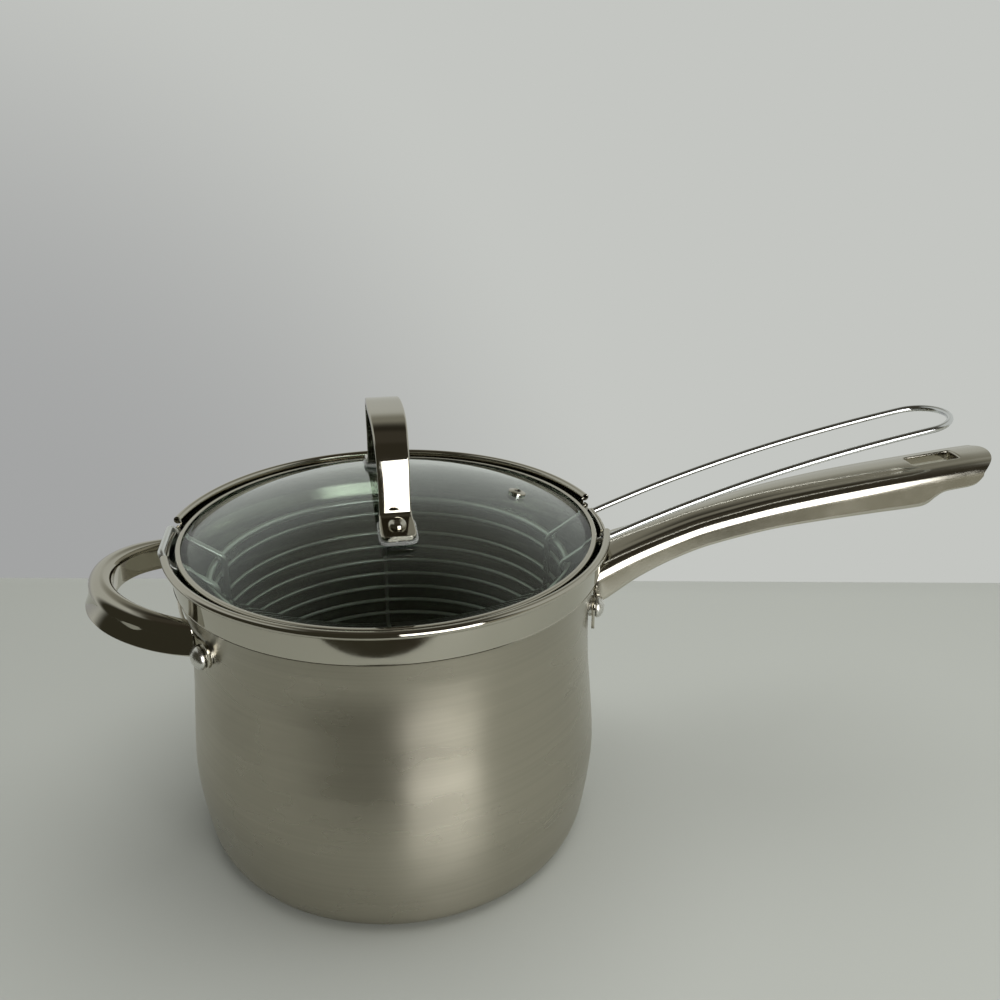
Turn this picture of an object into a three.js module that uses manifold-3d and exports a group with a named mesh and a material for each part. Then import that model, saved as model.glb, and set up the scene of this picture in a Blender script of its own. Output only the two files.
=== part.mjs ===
// Stockpot with a lift-out wire basket and a domed glass lid.
// Millimetres, +Z up, origin on the pot's axis at the bottom face, +X along the long handle.
import * as THREE from "three";
import { mergeVertices } from "three/addons/utils/BufferGeometryUtils.js";
import Module from "manifold-3d";

const wasm = await Module();
wasm.setup();

// Clearances
const SEAT_GAP = 0.3; // between pieces that rest on or are welded to each other
const HOLE_GAP = 0.25; // round a shank in its hole
const CUT_REACH = 40; // length of a cutter that passes right through

// Pot body
const POT_HEIGHT = 160; // floor to the top of the rolled rim
const BAND_RADIUS = 100.9; // lower edge of the polished rim band
const BELLY_IN = 0.2; // how far the belly stays inside that edge
const BELLY_Z = 48;
const NECK_IN = 4.7;
const NECK_DROP = 45; // top of the rim down to the narrowest ring
const FOOT_IN = 7.1; // widest ring seen at the floor
const BASE_IN = 15.9; // where the bottom corner starts
const BASE_LIFT = 0.6; // that ring above the floor
const BAND_HEIGHT = 16.7; // from that edge to the top of the rim
const WALL = 1.0;
const BEAD_RADIUS = 1.8; // rolled edge
const BEAD_OUT = 2.4; // centre of the roll outside the band's lower edge
const POT_STEPS = 40;

// Base capsule
const CAP_THICKNESS = 0.8;
const CORE_THICKNESS = 4.0;
const CORE_MARGIN = 4; // the core stays this far inside the bottom corner

// Rim notches that let the basket's wires through
const NOTCH_MARGIN = 4; // width of the notch beside a wire
const NOTCH_DROP = 4.4; // the roll is cut away down to this edge
const WIRE_SLOT_MARGIN = 0.8; // free width beside a wire in its slot
const NOTCH_SLOPE = 0.4; // rise of the wires through the notch

// Handle plates and rivets
const PLATE_THICKNESS = 1.4;
const PLATE_STANDOFF = 0.7; // room for the spacer behind a plate
const RIVET_SHANK = 2.8;
const RIVET_HEAD = 5.2;
const RIVET_EDGE = 0.6; // straight side of a head
const RIVET_DOME = 3;
const RIVET_TAIL = 1.4; // flat head inside the pot
const SPACER_RADIUS = 5;
const LONG_RIVET_DROP = 39; // top of the rim down to the rivets
const LONG_RIVET_OUT = 7.1; // rivets outside the handle's root
const LONG_PLATE_HEIGHT = 16.5;
const LONG_PLATE_RISE = -1.8; // rivets up to the middle of the plate
const SIDE_RIVET_DROP = 35;
const SIDE_RIVET_OUT = 5.7;
const SIDE_PLATE_HEIGHT = 12;
const SIDE_PLATE_RISE = 2.2;
const PLATE_MARGIN = 4.4; // degrees of plate past a rivet

// Long handle
const GRIP_THICKNESS = 1.4;
const GRIP_LENGTH = 204.1; // from the rim band's edge to the handle's end
const GRIP_ROOT_DROP = 16.8; // top of the rim down to the handle's top at the pot
const GRIP_ROOT_OUT = 7.1; // where that height is taken
const GRIP_RISE = 38.8; // from there to the top of the handle's end
const GRIP_HALF = 15.2; // half width along the grip
const GRIP_WAIST = 13.0; // half width at the narrow part
const GRIP_ROOT_HALF = 17.5;
const GRIP_SHOULDER = 6.5; // rounding of the upper edges
const GRIP_CROWN = 1.2; // how far the top bulges above its shoulders
const SLOT_LENGTH = 25;
const SLOT_WIDTH = 10.5;
const SLOT_END_MARGIN = 17;

// Side handle
const LOOP_REACH = 44.5; // how far the loop stands out from its ends
const LOOP_HALF = 44.6; // half distance between its ends
const LOOP_WIDTH = 10.6; // radial width at the middle
const LOOP_END_WIDTH = 5.6;
const LOOP_DEPTH = 15.4; // height of the section
const LOOP_DROP = 13.4; // top of the rim down to the loop's top at its middle
const LOOP_END_DROP = 9.3; // the ends lie lower than the middle
const LOOP_SHOULDER = 6.0; // rounding of the outer upper edge
const LOOP_LIP = 4.4; // the inner upper edge is rolled this much lower than the top
const LOOP_FLARE = 2.6; // lean of the outer flange at the middle
const LOOP_THICKNESS = 1.4;
const LOOP_BURIED = 5; // length of each end that is trimmed to the plate

// Lid
const LID_CLEARANCE = 2.4; // lid's edge inside the rim band's edge
const LID_BAND_HEIGHT = 5.4;
const LID_BAND_THICKNESS = 0.6;
const LID_FLANGE = 2.4; // how far the band wraps over the glass
const GLASS_THICKNESS = 3.6;
const GLASS_RISE = 20.9; // dome height above its flat edge
const VENT_RADIUS_AT = 63;
const VENT_ANGLE = 6; // degrees from the long handle's line
const VENT_BORE = 1.6;
const VENT_TUBE = 3.0;
const VENT_FLANGE = 4.4;
const LID_STEPS = 32;

// Lid handle
const STRAP_TURN = 2; // degrees the strap is turned from square to the long handle
const STRAP_TOP = 40.6; // strap's top above the glass's top
const STRAP_HALF = 36; // half distance between the legs' outer faces
const STRAP_LEG_WIDTH = 14;
const STRAP_TOP_WIDTH = 16.6;
const STRAP_FOOT_WIDTH = 15.6;
const STRAP_FOOT_LENGTH = 16;
const STRAP_THICKNESS = 2.4;
const PAD_THICKNESS = 1.8;
const PAD_OVERHANG = 0.7;
const SCREW_OUT = 7.5; // each screw outside its leg's outer face
const SCREW_SHANK = 1.9;
const SCREW_HEAD = 3.9;
const NUT_RADIUS = 4.0;
const NUT_HEIGHT = 3.2;
const WASHER_RADIUS = 6.0;
const WASHER_THICKNESS = 1.2;

// Basket
const RING_CLEARANCE = 16.1; // the ring's middle inside the rim band's edge
const RING_WIRE = 1.8; // wire radius
const RING_DROP = 23; // top of the rim down to the ring
const HOOP_WIRE = 1.0;
const HOOP_FIRST_DROP = 7.5; // ring to the first hoop
const HOOP_GAP = 12; // first to second hoop
const HOOP_PITCH = 8.5;
const HOOP_COUNT = 11;
const FLOOR_DROP = 5.5; // last hoop to the floor rings
const FLOOR_RINGS = 4;
const FLOOR_INNER_RADIUS = 12; // smallest floor ring
const FRAME_WIRE = 1.6; // handle and hook wire radius
const FRAME_HALF = 15.8; // half distance between the two wires
const FRAME_ANGLE = 32.2; // degrees the wires lean out over the ring
const RIB_WIRE = 1.1;
const HOOP_STEPS = 24; // a multiple of four, so that a corner meets each rib

// Basket handle
const WIRE_LENGTH = 178.1; // from the rim band's edge to the loop's tip
const WIRE_TIP_RISE = 42.2; // the tip above the top of the rim
const HOOK_OUT = 2.7; // the hook's cross bar outside the rim band's edge
const HOOK_RUN = 1.6; // straight wire outside the lid's edge before it turns up to the bar

const group = new THREE.Group();
group.name = "stockpot_with_basket";

const steel = (name, color, roughness) =>
  new THREE.MeshStandardMaterial({ name, color, metalness: 1, roughness });
const v2 = (x, y) => new THREE.Vector2(x, y);
const v3 = (x, y, z) => new THREE.Vector3(x, y, z);
const rad = THREE.MathUtils.degToRad;
const deg = THREE.MathUtils.radToDeg;
const mix = THREE.MathUtils.lerp;

// Solids and meshes
function toSolid(geometry) {
  const bare = geometry.index ? geometry.toNonIndexed() : geometry.clone();
  bare.deleteAttribute("normal");
  bare.deleteAttribute("uv");
  const merged = mergeVertices(bare, 1e-4);
  const index = merged.index.array;
  const triVerts = [];
  for (let i = 0; i < index.length; i += 3) {
    const [a, b, c] = [index[i], index[i + 1], index[i + 2]];
    if (a !== b && b !== c && c !== a) triVerts.push(a, b, c);
  }
  return new wasm.Manifold(
    new wasm.Mesh({
      numProp: 3,
      vertProperties: merged.attributes.position.array,
      triVerts: new Uint32Array(triVerts),
    }),
  );
}

function toGeometry(solid) {
  const { vertProperties, triVerts, numProp } = solid.getMesh();
  const position = [];
  for (let i = 0; i < vertProperties.length; i += numProp)
    position.push(vertProperties[i], vertProperties[i + 1], vertProperties[i + 2]);
  const geometry = new THREE.BufferGeometry();
  geometry.setAttribute("position", new THREE.Float32BufferAttribute(position, 3));
  geometry.setIndex(Array.from(triVerts));
  return geometry;
}

function cut(geometry, tools) {
  let solid = toSolid(geometry);
  for (const tool of tools) solid = solid.subtract(toSolid(tool));
  return toGeometry(solid);
}

function add(name, geometry, material) {
  const mesh = new THREE.Mesh(geometry, material);
  mesh.name = name;
  group.add(mesh);
  return mesh;
}

// A solid of revolution about Z from a closed outline of [radius, height] pairs.
function turned(outline, steps) {
  const points = outline.map(([r, z]) => v2(Math.max(r, 0), z));
  return new THREE.LatheGeometry(points, steps).rotateX(Math.PI / 2);
}

// A skin through equal closed rings of points, capped at both ends.
function skin(rings, flatEnds) {
  const n = rings[0].length;
  const position = [];
  const index = [];
  rings.forEach((ring) => ring.forEach((p) => position.push(p.x, p.y, p.z)));
  for (let i = 0; i + 1 < rings.length; i++)
    for (let j = 0; j < n; j++) {
      const k = (j + 1) % n;
      const [a, b, c, d] = [i * n + j, i * n + k, (i + 1) * n + k, (i + 1) * n + j];
      index.push(a, b, c, a, c, d);
    }
  const last = (rings.length - 1) * n;
  // Cap triangles come out counter-clockwise, whichever way round the section was drawn.
  flatEnds.forEach((flat, end) => {
    const first = end ? last : 0;
    const keep = THREE.ShapeUtils.isClockWise(flat) === (end === 0);
    for (const [a, b, c] of THREE.ShapeUtils.triangulateShape(flat, [])) {
      if (keep) index.push(first + a, first + b, first + c);
      else index.push(first + a, first + c, first + b);
    }
  });
  const geometry = new THREE.BufferGeometry();
  geometry.setAttribute("position", new THREE.Float32BufferAttribute(position, 3));
  geometry.setIndex(index);
  return geometry;
}

// Sections in the planes of given frames. A flat point (u, v) lands at at + u * side + v * up.
function lofted(stations) {
  const rings = stations.map(({ at, side, up, flat }) =>
    flat.map((q) => at.clone().addScaledVector(side, q.x).addScaledVector(up, q.y)),
  );
  return skin(rings, [stations[0].flat, stations[stations.length - 1].flat]);
}

// A round wire along a list of points, its section carried along without twist.
function wire(points, radius, sides) {
  const flat = [];
  for (let i = 0; i < sides; i++) {
    const a = (2 * Math.PI * i) / sides;
    flat.push(v2(radius * Math.cos(a), radius * Math.sin(a)));
  }
  const tangents = points.map((p, i) => {
    const a = points[Math.max(i - 1, 0)];
    const b = points[Math.min(i + 1, points.length - 1)];
    const back = p.clone().sub(a).normalize();
    const ahead = b.clone().sub(p).normalize();
    return back.add(ahead).normalize();
  });
  let side = v3(0, 0, 1);
  if (Math.abs(tangents[0].z) > 0.9) side = v3(1, 0, 0);
  const stations = points.map((at, i) => {
    const t = tangents[i];
    side = side.clone().addScaledVector(t, -side.dot(t)).normalize();
    return { at, side, up: v3(0, 0, 0).crossVectors(t, side), flat };
  });
  return lofted(stations);
}

// A polyline with each inner corner rounded to the given bend radius.
function bent(corners, bends, steps) {
  const out = [corners[0].clone()];
  for (let i = 1; i + 1 < corners.length; i++) {
    const p = corners[i];
    const toBack = corners[i - 1].clone().sub(p).normalize();
    const toAhead = corners[i + 1].clone().sub(p).normalize();
    const half = Math.acos(THREE.MathUtils.clamp(toBack.dot(toAhead), -1, 1)) / 2;
    const bend = bends[i - 1];
    if (!bend || Math.PI / 2 - half < 0.01) {
      out.push(p.clone());
      continue;
    }
    const reach = bend / Math.tan(half);
    const centre = toBack.clone().add(toAhead).normalize();
    centre.multiplyScalar(bend / Math.sin(half)).add(p);
    const from = p.clone().addScaledVector(toBack, reach).sub(centre);
    const to = p.clone().addScaledVector(toAhead, reach).sub(centre);
    const sweep = from.angleTo(to);
    const axis = v3(0, 0, 0).crossVectors(from, to).normalize();
    for (let k = 0; k <= steps; k++)
      out.push(from.clone().applyAxisAngle(axis, (sweep * k) / steps).add(centre));
  }
  out.push(corners[corners.length - 1].clone());
  return out;
}

// Places that follow from the rim
const baseRadius = BAND_RADIUS - BASE_IN;
const footRadius = BAND_RADIUS - FOOT_IN;
const bellyRadius = BAND_RADIUS - BELLY_IN;
const neckRadius = BAND_RADIUS - NECK_IN;
const neckZ = POT_HEIGHT - NECK_DROP;
const coreRadius = baseRadius - CORE_MARGIN;
const notchHalf = FRAME_HALF + FRAME_WIRE + NOTCH_MARGIN;
const notchEdgeZ = POT_HEIGHT - NOTCH_DROP;
const longRivetZ = POT_HEIGHT - LONG_RIVET_DROP;
const longPlateZ = longRivetZ + LONG_PLATE_RISE;
const longRivetAngle = deg(Math.asin((GRIP_ROOT_HALF + LONG_RIVET_OUT) / neckRadius));
const sideRivetZ = POT_HEIGHT - SIDE_RIVET_DROP;
const sidePlateZ = sideRivetZ + SIDE_PLATE_RISE;
const sideRivetAngle = deg(Math.asin((LOOP_HALF + SIDE_RIVET_OUT) / neckRadius));
const gripReach = BAND_RADIUS + GRIP_LENGTH;
const gripRootX = BAND_RADIUS + GRIP_ROOT_OUT;
const gripRootZ = POT_HEIGHT - GRIP_ROOT_DROP;
const gripEndZ = gripRootZ + GRIP_RISE;
const loopTopZ = POT_HEIGHT - LOOP_DROP;
const lidRadius = BAND_RADIUS - LID_CLEARANCE;
const screwAt = STRAP_HALF + SCREW_OUT;
const ringRadius = BAND_RADIUS - RING_CLEARANCE;
const ringZ = POT_HEIGHT - RING_DROP;
const wireReach = BAND_RADIUS + WIRE_LENGTH;
const wireTipZ = POT_HEIGHT + WIRE_TIP_RISE;
const hookReach = BAND_RADIUS + HOOK_OUT;

// Basket frame heights
const hoopRadius = ringRadius - RING_WIRE + HOOP_WIRE;
// The flats of a hoop come further in than its corners.
const hoopInside = (hoopRadius - HOOP_WIRE) * Math.cos(Math.PI / HOOP_STEPS);
const legRadius = hoopInside - SEAT_GAP - FRAME_WIRE;
const ribRadius = hoopRadius + HOOP_WIRE + SEAT_GAP + RIB_WIRE;
const hoopZ = [ringZ - HOOP_FIRST_DROP];
for (let i = 1; i < HOOP_COUNT; i++)
  hoopZ.push(ringZ - HOOP_FIRST_DROP - HOOP_GAP - (i - 1) * HOOP_PITCH);
const lastHoopZ = hoopZ[hoopZ.length - 1];
const basketFloorZ = lastHoopZ - FLOOR_DROP;
const legX = Math.sqrt(legRadius * legRadius - FRAME_HALF * FRAME_HALF);
const ringX = Math.sqrt(ringRadius * ringRadius - FRAME_HALF * FRAME_HALF);
const frameFloorZ = basketFloorZ + HOOP_WIRE + SEAT_GAP + FRAME_WIRE;
const ribFloorZ = basketFloorZ - HOOP_WIRE - SEAT_GAP - RIB_WIRE;

// Where the frame wires cross the ring, and the rim in its notch
const rise = rad(FRAME_ANGLE);
const clear = RING_WIRE + SEAT_GAP + FRAME_WIRE;
const overRing = v2(ringX - clear * Math.sin(rise), ringZ + clear * Math.cos(rise));
const kneeZ = overRing.y - (overRing.x - legX) * Math.tan(rise);
const rimInX = Math.sqrt(Math.pow(lidRadius, 2) - FRAME_HALF * FRAME_HALF);
const underLidZ = kneeZ + (rimInX - legX) * Math.tan(rise);
// Past the lid's edge the wires flatten out, and their slots end just under them.
const notchWallX = Math.sqrt(
  Math.pow(BAND_RADIUS - WALL, 2) - Math.pow(FRAME_HALF + FRAME_WIRE, 2),
);
const notchFloor =
  underLidZ +
  (notchWallX - rimInX) * NOTCH_SLOPE -
  FRAME_WIRE * Math.hypot(1, NOTCH_SLOPE) -
  SEAT_GAP;

// Pot shell
const bandZ = POT_HEIGHT - BAND_HEIGHT;
const rimRadius = BAND_RADIUS + BEAD_OUT;
const beadZ = POT_HEIGHT - BEAD_RADIUS;
const bodyKnots = [
  [baseRadius, BASE_LIFT],
  [mix(baseRadius, footRadius, 0.64), 1.5],
  [footRadius, 3.6],
  [mix(footRadius, bellyRadius, 0.41), BELLY_Z * 0.21],
  [mix(footRadius, bellyRadius, 0.66), BELLY_Z * 0.42],
  [mix(footRadius, bellyRadius, 0.91), BELLY_Z * 0.71],
  [bellyRadius, BELLY_Z],
  [mix(bellyRadius, neckRadius, 0.38), mix(BELLY_Z, neckZ, 0.33)],
  [mix(bellyRadius, neckRadius, 0.82), mix(BELLY_Z, neckZ, 0.66)],
  [neckRadius, neckZ],
  [mix(neckRadius, BAND_RADIUS, 0.16), mix(neckZ, bandZ, 0.45)],
  [mix(neckRadius, BAND_RADIUS, 0.56), mix(neckZ, bandZ, 0.75)],
  [BAND_RADIUS, bandZ],
];
const bodyCurve = new THREE.SplineCurve(bodyKnots.map(([r, z]) => v2(r, z)));
const outerBody = bodyCurve.getPoints(14);
const bandTop = v2(rimRadius - 0.6, beadZ - BEAD_RADIUS * 0.82);
const outerBand = [0.35, 0.7].map((t) =>
  v2(mix(BAND_RADIUS, bandTop.x, Math.pow(t, 0.9)), mix(bandZ, bandTop.y, t)),
);
const outerWall = [...outerBody, ...outerBand];

// Radius of the pot's outside at a height.
function outerAt(z) {
  for (let i = 1; i < outerWall.length; i++)
    if (outerWall[i].y >= z) {
      const [a, b] = [outerWall[i - 1], outerWall[i]];
      return mix(a.x, b.x, THREE.MathUtils.clamp((z - a.y) / (b.y - a.y), 0, 1));
    }
  return rimRadius;
}

const shellBottom = CAP_THICKNESS + CORE_THICKNESS + 2 * SEAT_GAP;
const floorZ = shellBottom + WALL;
const innerWall = outerWall
  .map((p, i) => {
    const a = outerWall[Math.max(i - 1, 0)];
    const b = outerWall[Math.min(i + 1, outerWall.length - 1)];
    const n = v2(-(b.y - a.y), b.x - a.x).normalize();
    return p.clone().addScaledVector(n, WALL);
  })
  .filter((p, i) => p.y > floorZ + 1.5 && (i % 2 === 0 || p.y > bandZ));
const bead = [];
for (let i = 0; i <= 6; i++) {
  const a = rad(-122 + (302 * i) / 6);
  bead.push([rimRadius + BEAD_RADIUS * Math.cos(a), beadZ + BEAD_RADIUS * Math.sin(a)]);
}
const recess = coreRadius + CAP_THICKNESS + 2 * SEAT_GAP;
const shellOutline = [
  [0, shellBottom],
  [recess, shellBottom],
  [recess, BASE_LIFT],
  ...outerWall.map((p) => [p.x, p.y]),
  ...bead,
  ...innerWall.reverse().map((p) => [p.x, p.y]),
  [innerWall[innerWall.length - 1].x - 2.2, floorZ],
  [0, floorZ],
];

// A pin-shaped cutter or piece along a radial direction of the pot.
function radial(geometry, angle, z) {
  return geometry
    .rotateY(Math.PI / 2)
    .rotateZ(rad(angle))
    .translate(0, 0, z);
}
const rivetSpots = [
  ["long_handle", "front", -longRivetAngle, longRivetZ],
  ["long_handle", "back", longRivetAngle, longRivetZ],
  ["side_handle", "front", 180 + sideRivetAngle, sideRivetZ],
  ["side_handle", "back", 180 - sideRivetAngle, sideRivetZ],
].map(([name, side, angle, z]) => ({ name, side, angle, z }));
// Along its own Z a radial outline starts at the pot's axis.
const bore = (radius, from, to) =>
  turned([[0, from], [radius, from], [radius, to], [0, to]], 12);

// A cutter over the rim at one side, from a height up through the roll.
function rimCutter(sign, y, half, fromZ) {
  const tall = POT_HEIGHT + CUT_REACH / 2 - fromZ;
  return new THREE.BoxGeometry(CUT_REACH, 2 * half, tall).translate(
    sign * rimRadius,
    y,
    fromZ + tall / 2,
  );
}
const shellTools = [];
for (const sign of [1, -1]) {
  shellTools.push(rimCutter(sign, 0, notchHalf, notchEdgeZ));
  for (const y of [FRAME_HALF, -FRAME_HALF])
    shellTools.push(rimCutter(sign, y, FRAME_WIRE + WIRE_SLOT_MARGIN, notchFloor));
}
for (const spot of rivetSpots)
  shellTools.push(
    radial(bore(RIVET_SHANK + HOLE_GAP, neckRadius - 12, neckRadius + 12), spot.angle, spot.z),
  );
add(
  "pot_shell",
  cut(turned(shellOutline, POT_STEPS), shellTools),
  steel("brushed stainless steel", 0xa9a69d, 0.35),
);

// Base: an aluminium core closed in by a steel cap
const coreBottom = CAP_THICKNESS + SEAT_GAP;
add(
  "base_core",
  turned(
    [
      [0, coreBottom],
      [coreRadius, coreBottom],
      [coreRadius, coreBottom + CORE_THICKNESS],
      [0, coreBottom + CORE_THICKNESS],
    ],
    POT_STEPS,
  ),
  steel("aluminium", 0xb9bcbd, 0.5),
);
const capRadius = recess - SEAT_GAP;
add(
  "base_cap",
  turned(
    [
      [0, 0],
      [capRadius - 0.6, 0],
      [capRadius, 0.6],
      [capRadius, CORE_THICKNESS],
      [coreRadius + SEAT_GAP, CORE_THICKNESS],
      [coreRadius + SEAT_GAP, CAP_THICKNESS],
      [0, CAP_THICKNESS],
    ],
    POT_STEPS,
  ),
  steel("stainless steel base", 0x9a9a97, 0.45),
);

// Handle plates, spacers and rivets
const wallAtRivet = (z) => Math.max(outerAt(z), outerAt(z - 4), outerAt(z + 4));
function plateBand(rivetZ, plateZ, height) {
  const low = plateZ - height / 2;
  const high = plateZ + height / 2;
  const inner = Math.max(
    wallAtRivet(rivetZ) + SEAT_GAP + PLATE_STANDOFF + SEAT_GAP,
    outerAt(high) + SEAT_GAP,
    outerAt(low) + SEAT_GAP,
  );
  return { inner, outer: inner + PLATE_THICKNESS, low, high };
}
const bands = {
  long_handle: plateBand(longRivetZ, longPlateZ, LONG_PLATE_HEIGHT),
  side_handle: plateBand(sideRivetZ, sidePlateZ, SIDE_PLATE_HEIGHT),
};
function handlePlate(name, turn, rivetAngle) {
  const { inner, outer, low, high } = bands[name];
  const half = rad(rivetAngle + PLATE_MARGIN);
  const steps = 14;
  const shape = new THREE.Shape();
  for (let i = 0; i <= steps; i++) {
    const a = mix(-half, half, i / steps);
    const p = [outer * Math.cos(a), outer * Math.sin(a)];
    if (i === 0) shape.moveTo(...p);
    else shape.lineTo(...p);
  }
  for (let i = steps; i >= 0; i--) {
    const a = mix(-half, half, i / steps);
    shape.lineTo(inner * Math.cos(a), inner * Math.sin(a));
  }
  const plate = new THREE.ExtrudeGeometry(shape, { depth: high - low, bevelEnabled: false })
    .translate(0, 0, low)
    .rotateZ(rad(turn));
  const holes = rivetSpots
    .filter((spot) => spot.name === name)
    .map((spot) =>
      radial(bore(RIVET_SHANK + HOLE_GAP, inner - 6, outer + 6), spot.angle, spot.z),
    );
  add(name + "_plate", cut(plate, holes), steel("stainless steel plate", 0xb5b3ad, 0.3));
}
handlePlate("long_handle", 0, longRivetAngle);
handlePlate("side_handle", 180, sideRivetAngle);

for (const spot of rivetSpots) {
  const { inner, outer } = bands[spot.name];
  const shaft = RIVET_SHANK;
  const wallIn = outerAt(spot.z) - WALL;
  const headIn = wallIn - SEAT_GAP - 0.4;
  const headOut = outer + SEAT_GAP + 0.35;
  const dome = [0, 0.3, 0.6, 0.85, 1].map((t) => {
    const a = (Math.PI / 2) * t;
    return [RIVET_HEAD * Math.cos(a), headOut + RIVET_EDGE + RIVET_DOME * Math.sin(a)];
  });
  const outline = [
    [0, headIn - RIVET_TAIL],
    [RIVET_HEAD * 0.8, headIn - RIVET_TAIL],
    [RIVET_HEAD * 0.95, headIn - RIVET_TAIL * 0.64],
    [RIVET_HEAD * 0.95, headIn],
    [shaft, headIn],
    [shaft, headOut],
    [RIVET_HEAD, headOut],
    ...dome.slice(0, 4),
    [0, headOut + RIVET_EDGE + RIVET_DOME],
  ];
  add(
    spot.name + "_rivet_" + spot.side,
    radial(turned(outline, 10), spot.angle, spot.z),
    steel("rivet steel", 0xc4c3be, 0.25),
  );
  const from = wallAtRivet(spot.z) + SEAT_GAP;
  const spacer = [
    [shaft + HOLE_GAP, from],
    [SPACER_RADIUS, from],
    [SPACER_RADIUS, inner - SEAT_GAP - 0.15],
    [shaft + HOLE_GAP, inner - SEAT_GAP - 0.15],
    [shaft + HOLE_GAP, from],
  ];
  add(
    spot.name + "_spacer_" + spot.side,
    radial(turned(spacer, 12), spot.angle, spot.z),
    steel("spacer steel", 0xaeaca6, 0.35),
  );
}

// What both handles keep clear of: the pot's outside and one plate
function potEnvelope(band) {
  const rows = [];
  const low = band.low - SEAT_GAP;
  const high = band.high + SEAT_GAP;
  for (let i = 0; i <= 24; i++) {
    const z = mix(low - 20, bandZ + 6, i / 24);
    rows.push([outerAt(z) + 2 * SEAT_GAP, z]);
  }
  const reach = band.outer + SEAT_GAP;
  const below = rows.filter(([, z]) => z < low);
  const above = rows.filter(([, z]) => z > high).map(([r, z]) => [Math.max(r, reach), z]);
  const outline = [
    [0, below[0][1]],
    ...below,
    [reach, low],
    [reach, high],
    ...above,
    [0, above[above.length - 1][1]],
  ];
  return turned(outline, 96);
}

// Long handle: an upside-down channel with rounded shoulders, open at its end
const gripPath = new THREE.CatmullRomCurve3(
  [
    [-0.071, -0.15],
    [0, 0],
    [0.061, 0.108],
    [0.137, 0.232],
    [0.227, 0.374],
    [0.387, 0.574],
    [0.523, 0.701],
    [0.661, 0.804],
    [0.799, 0.889],
    [0.924, 0.964],
    [1, 1],
  ].map(([run, rise]) =>
    v3(mix(gripRootX, gripReach, run), 0, mix(gripRootZ, gripEndZ, rise)),
  ),
);
// A smooth value between the rows of a table of [share, value].
function along(table, t) {
  const last = table.length - 1;
  let i = 1;
  while (i < last && table[i][0] < t) i++;
  const slope = (k) => {
    const [a, b] = [table[Math.max(k - 1, 0)], table[Math.min(k + 1, last)]];
    return (b[1] - a[1]) / (b[0] - a[0]);
  };
  const [from, to] = [table[i - 1], table[i]];
  const span = to[0] - from[0];
  const u = THREE.MathUtils.clamp((t - from[0]) / span, 0, 1);
  const [u2, u3] = [u * u, u * u * u];
  return (
    from[1] * (2 * u3 - 3 * u2 + 1) +
    slope(i - 1) * span * (u3 - 2 * u2 + u) +
    to[1] * (3 * u2 - 2 * u3) +
    slope(i) * span * (u3 - u2)
  );
}
// Flange depth and half width along the handle, both against the share of its length
const gripDepth = [
  [0, 18.8],
  [0.045, 17.6],
  [0.092, 16.4],
  [0.18, 15],
  [0.287, 14.8],
  [0.437, 15.4],
  [0.562, 16.7],
  [0.689, 18.1],
  [0.795, 18.9],
  [0.815, 18.0],
  [0.835, 15.2],
  [0.855, 13.2],
  [0.9, 12.8],
  [1, 12.6],
];
const gripHalf = [
  [0, GRIP_ROOT_HALF + 2],
  [0.06, GRIP_ROOT_HALF],
  [0.12, mix(GRIP_ROOT_HALF, GRIP_WAIST, 0.46)],
  [0.2, mix(GRIP_ROOT_HALF, GRIP_WAIST, 0.88)],
  [0.27, GRIP_WAIST],
  [0.37, mix(GRIP_WAIST, GRIP_HALF, 0.3)],
  [0.5, mix(GRIP_WAIST, GRIP_HALF, 0.75)],
  [0.64, GRIP_HALF],
  [1, GRIP_HALF],
];
// Outer outline of the channel from one lower edge over the top to the other.
function channelOutline(half, depth, shoulder, crown) {
  const points = [];
  const r = Math.min(shoulder, depth - 1, half - 1);
  points.push(v2(-half, -depth));
  for (let i = 0; i <= 3; i++) {
    const a = Math.PI - (Math.PI / 2) * (i / 3);
    points.push(v2(-half + r + r * Math.cos(a), -crown - r + r * Math.sin(a)));
  }
  points.push(v2(0, 0));
  const right = points.slice(0, -1).reverse();
  return [...points, ...right.map((p) => v2(-p.x, p.y))];
}
// The channel's closed section: the outer outline and the same drawn in by the thickness.
function channelSection(half, depth, shoulder, crown, thickness) {
  const outer = channelOutline(half, depth, shoulder, crown);
  const inner = channelOutline(half - thickness, depth - thickness, shoulder, crown).map(
    (p) => v2(p.x, p.y - thickness),
  );
  return [...outer, ...inner.reverse()];
}
const gripShares = [
  0, 0.03, 0.06, 0.1, 0.15, 0.2, 0.27, 0.34, 0.42, 0.5, 0.58, 0.66, 0.74, 0.79, 0.81, 0.83,
  0.85, 0.87, 0.92, 0.96, 0.98, 1,
];
const gripStations = gripShares.map((t) => {
  const at = gripPath.getPointAt(t);
  const tangent = gripPath.getTangentAt(t);
  const up = v3(-tangent.z, 0, tangent.x);
  const flat = channelSection(
    along(gripHalf, t),
    along(gripDepth, t),
    GRIP_SHOULDER,
    GRIP_CROWN,
    GRIP_THICKNESS,
  );
  return { at, side: v3(0, -1, 0), up, flat };
});
const slotShape = new THREE.Shape();
const slotFrom = gripReach - SLOT_END_MARGIN - SLOT_LENGTH;
const slotTo = gripReach - SLOT_END_MARGIN;
slotShape.moveTo(slotFrom + 3, -SLOT_WIDTH / 2);
slotShape.lineTo(slotTo - 3.5, -SLOT_WIDTH / 2);
slotShape.quadraticCurveTo(slotTo, -SLOT_WIDTH / 2, slotTo, 0);
slotShape.quadraticCurveTo(slotTo, SLOT_WIDTH / 2, slotTo - 3.5, SLOT_WIDTH / 2);
slotShape.lineTo(slotFrom + 3, SLOT_WIDTH / 2);
slotShape.quadraticCurveTo(slotFrom, SLOT_WIDTH / 2, slotFrom, 0);
slotShape.quadraticCurveTo(slotFrom, -SLOT_WIDTH / 2, slotFrom + 3, -SLOT_WIDTH / 2);
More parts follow.
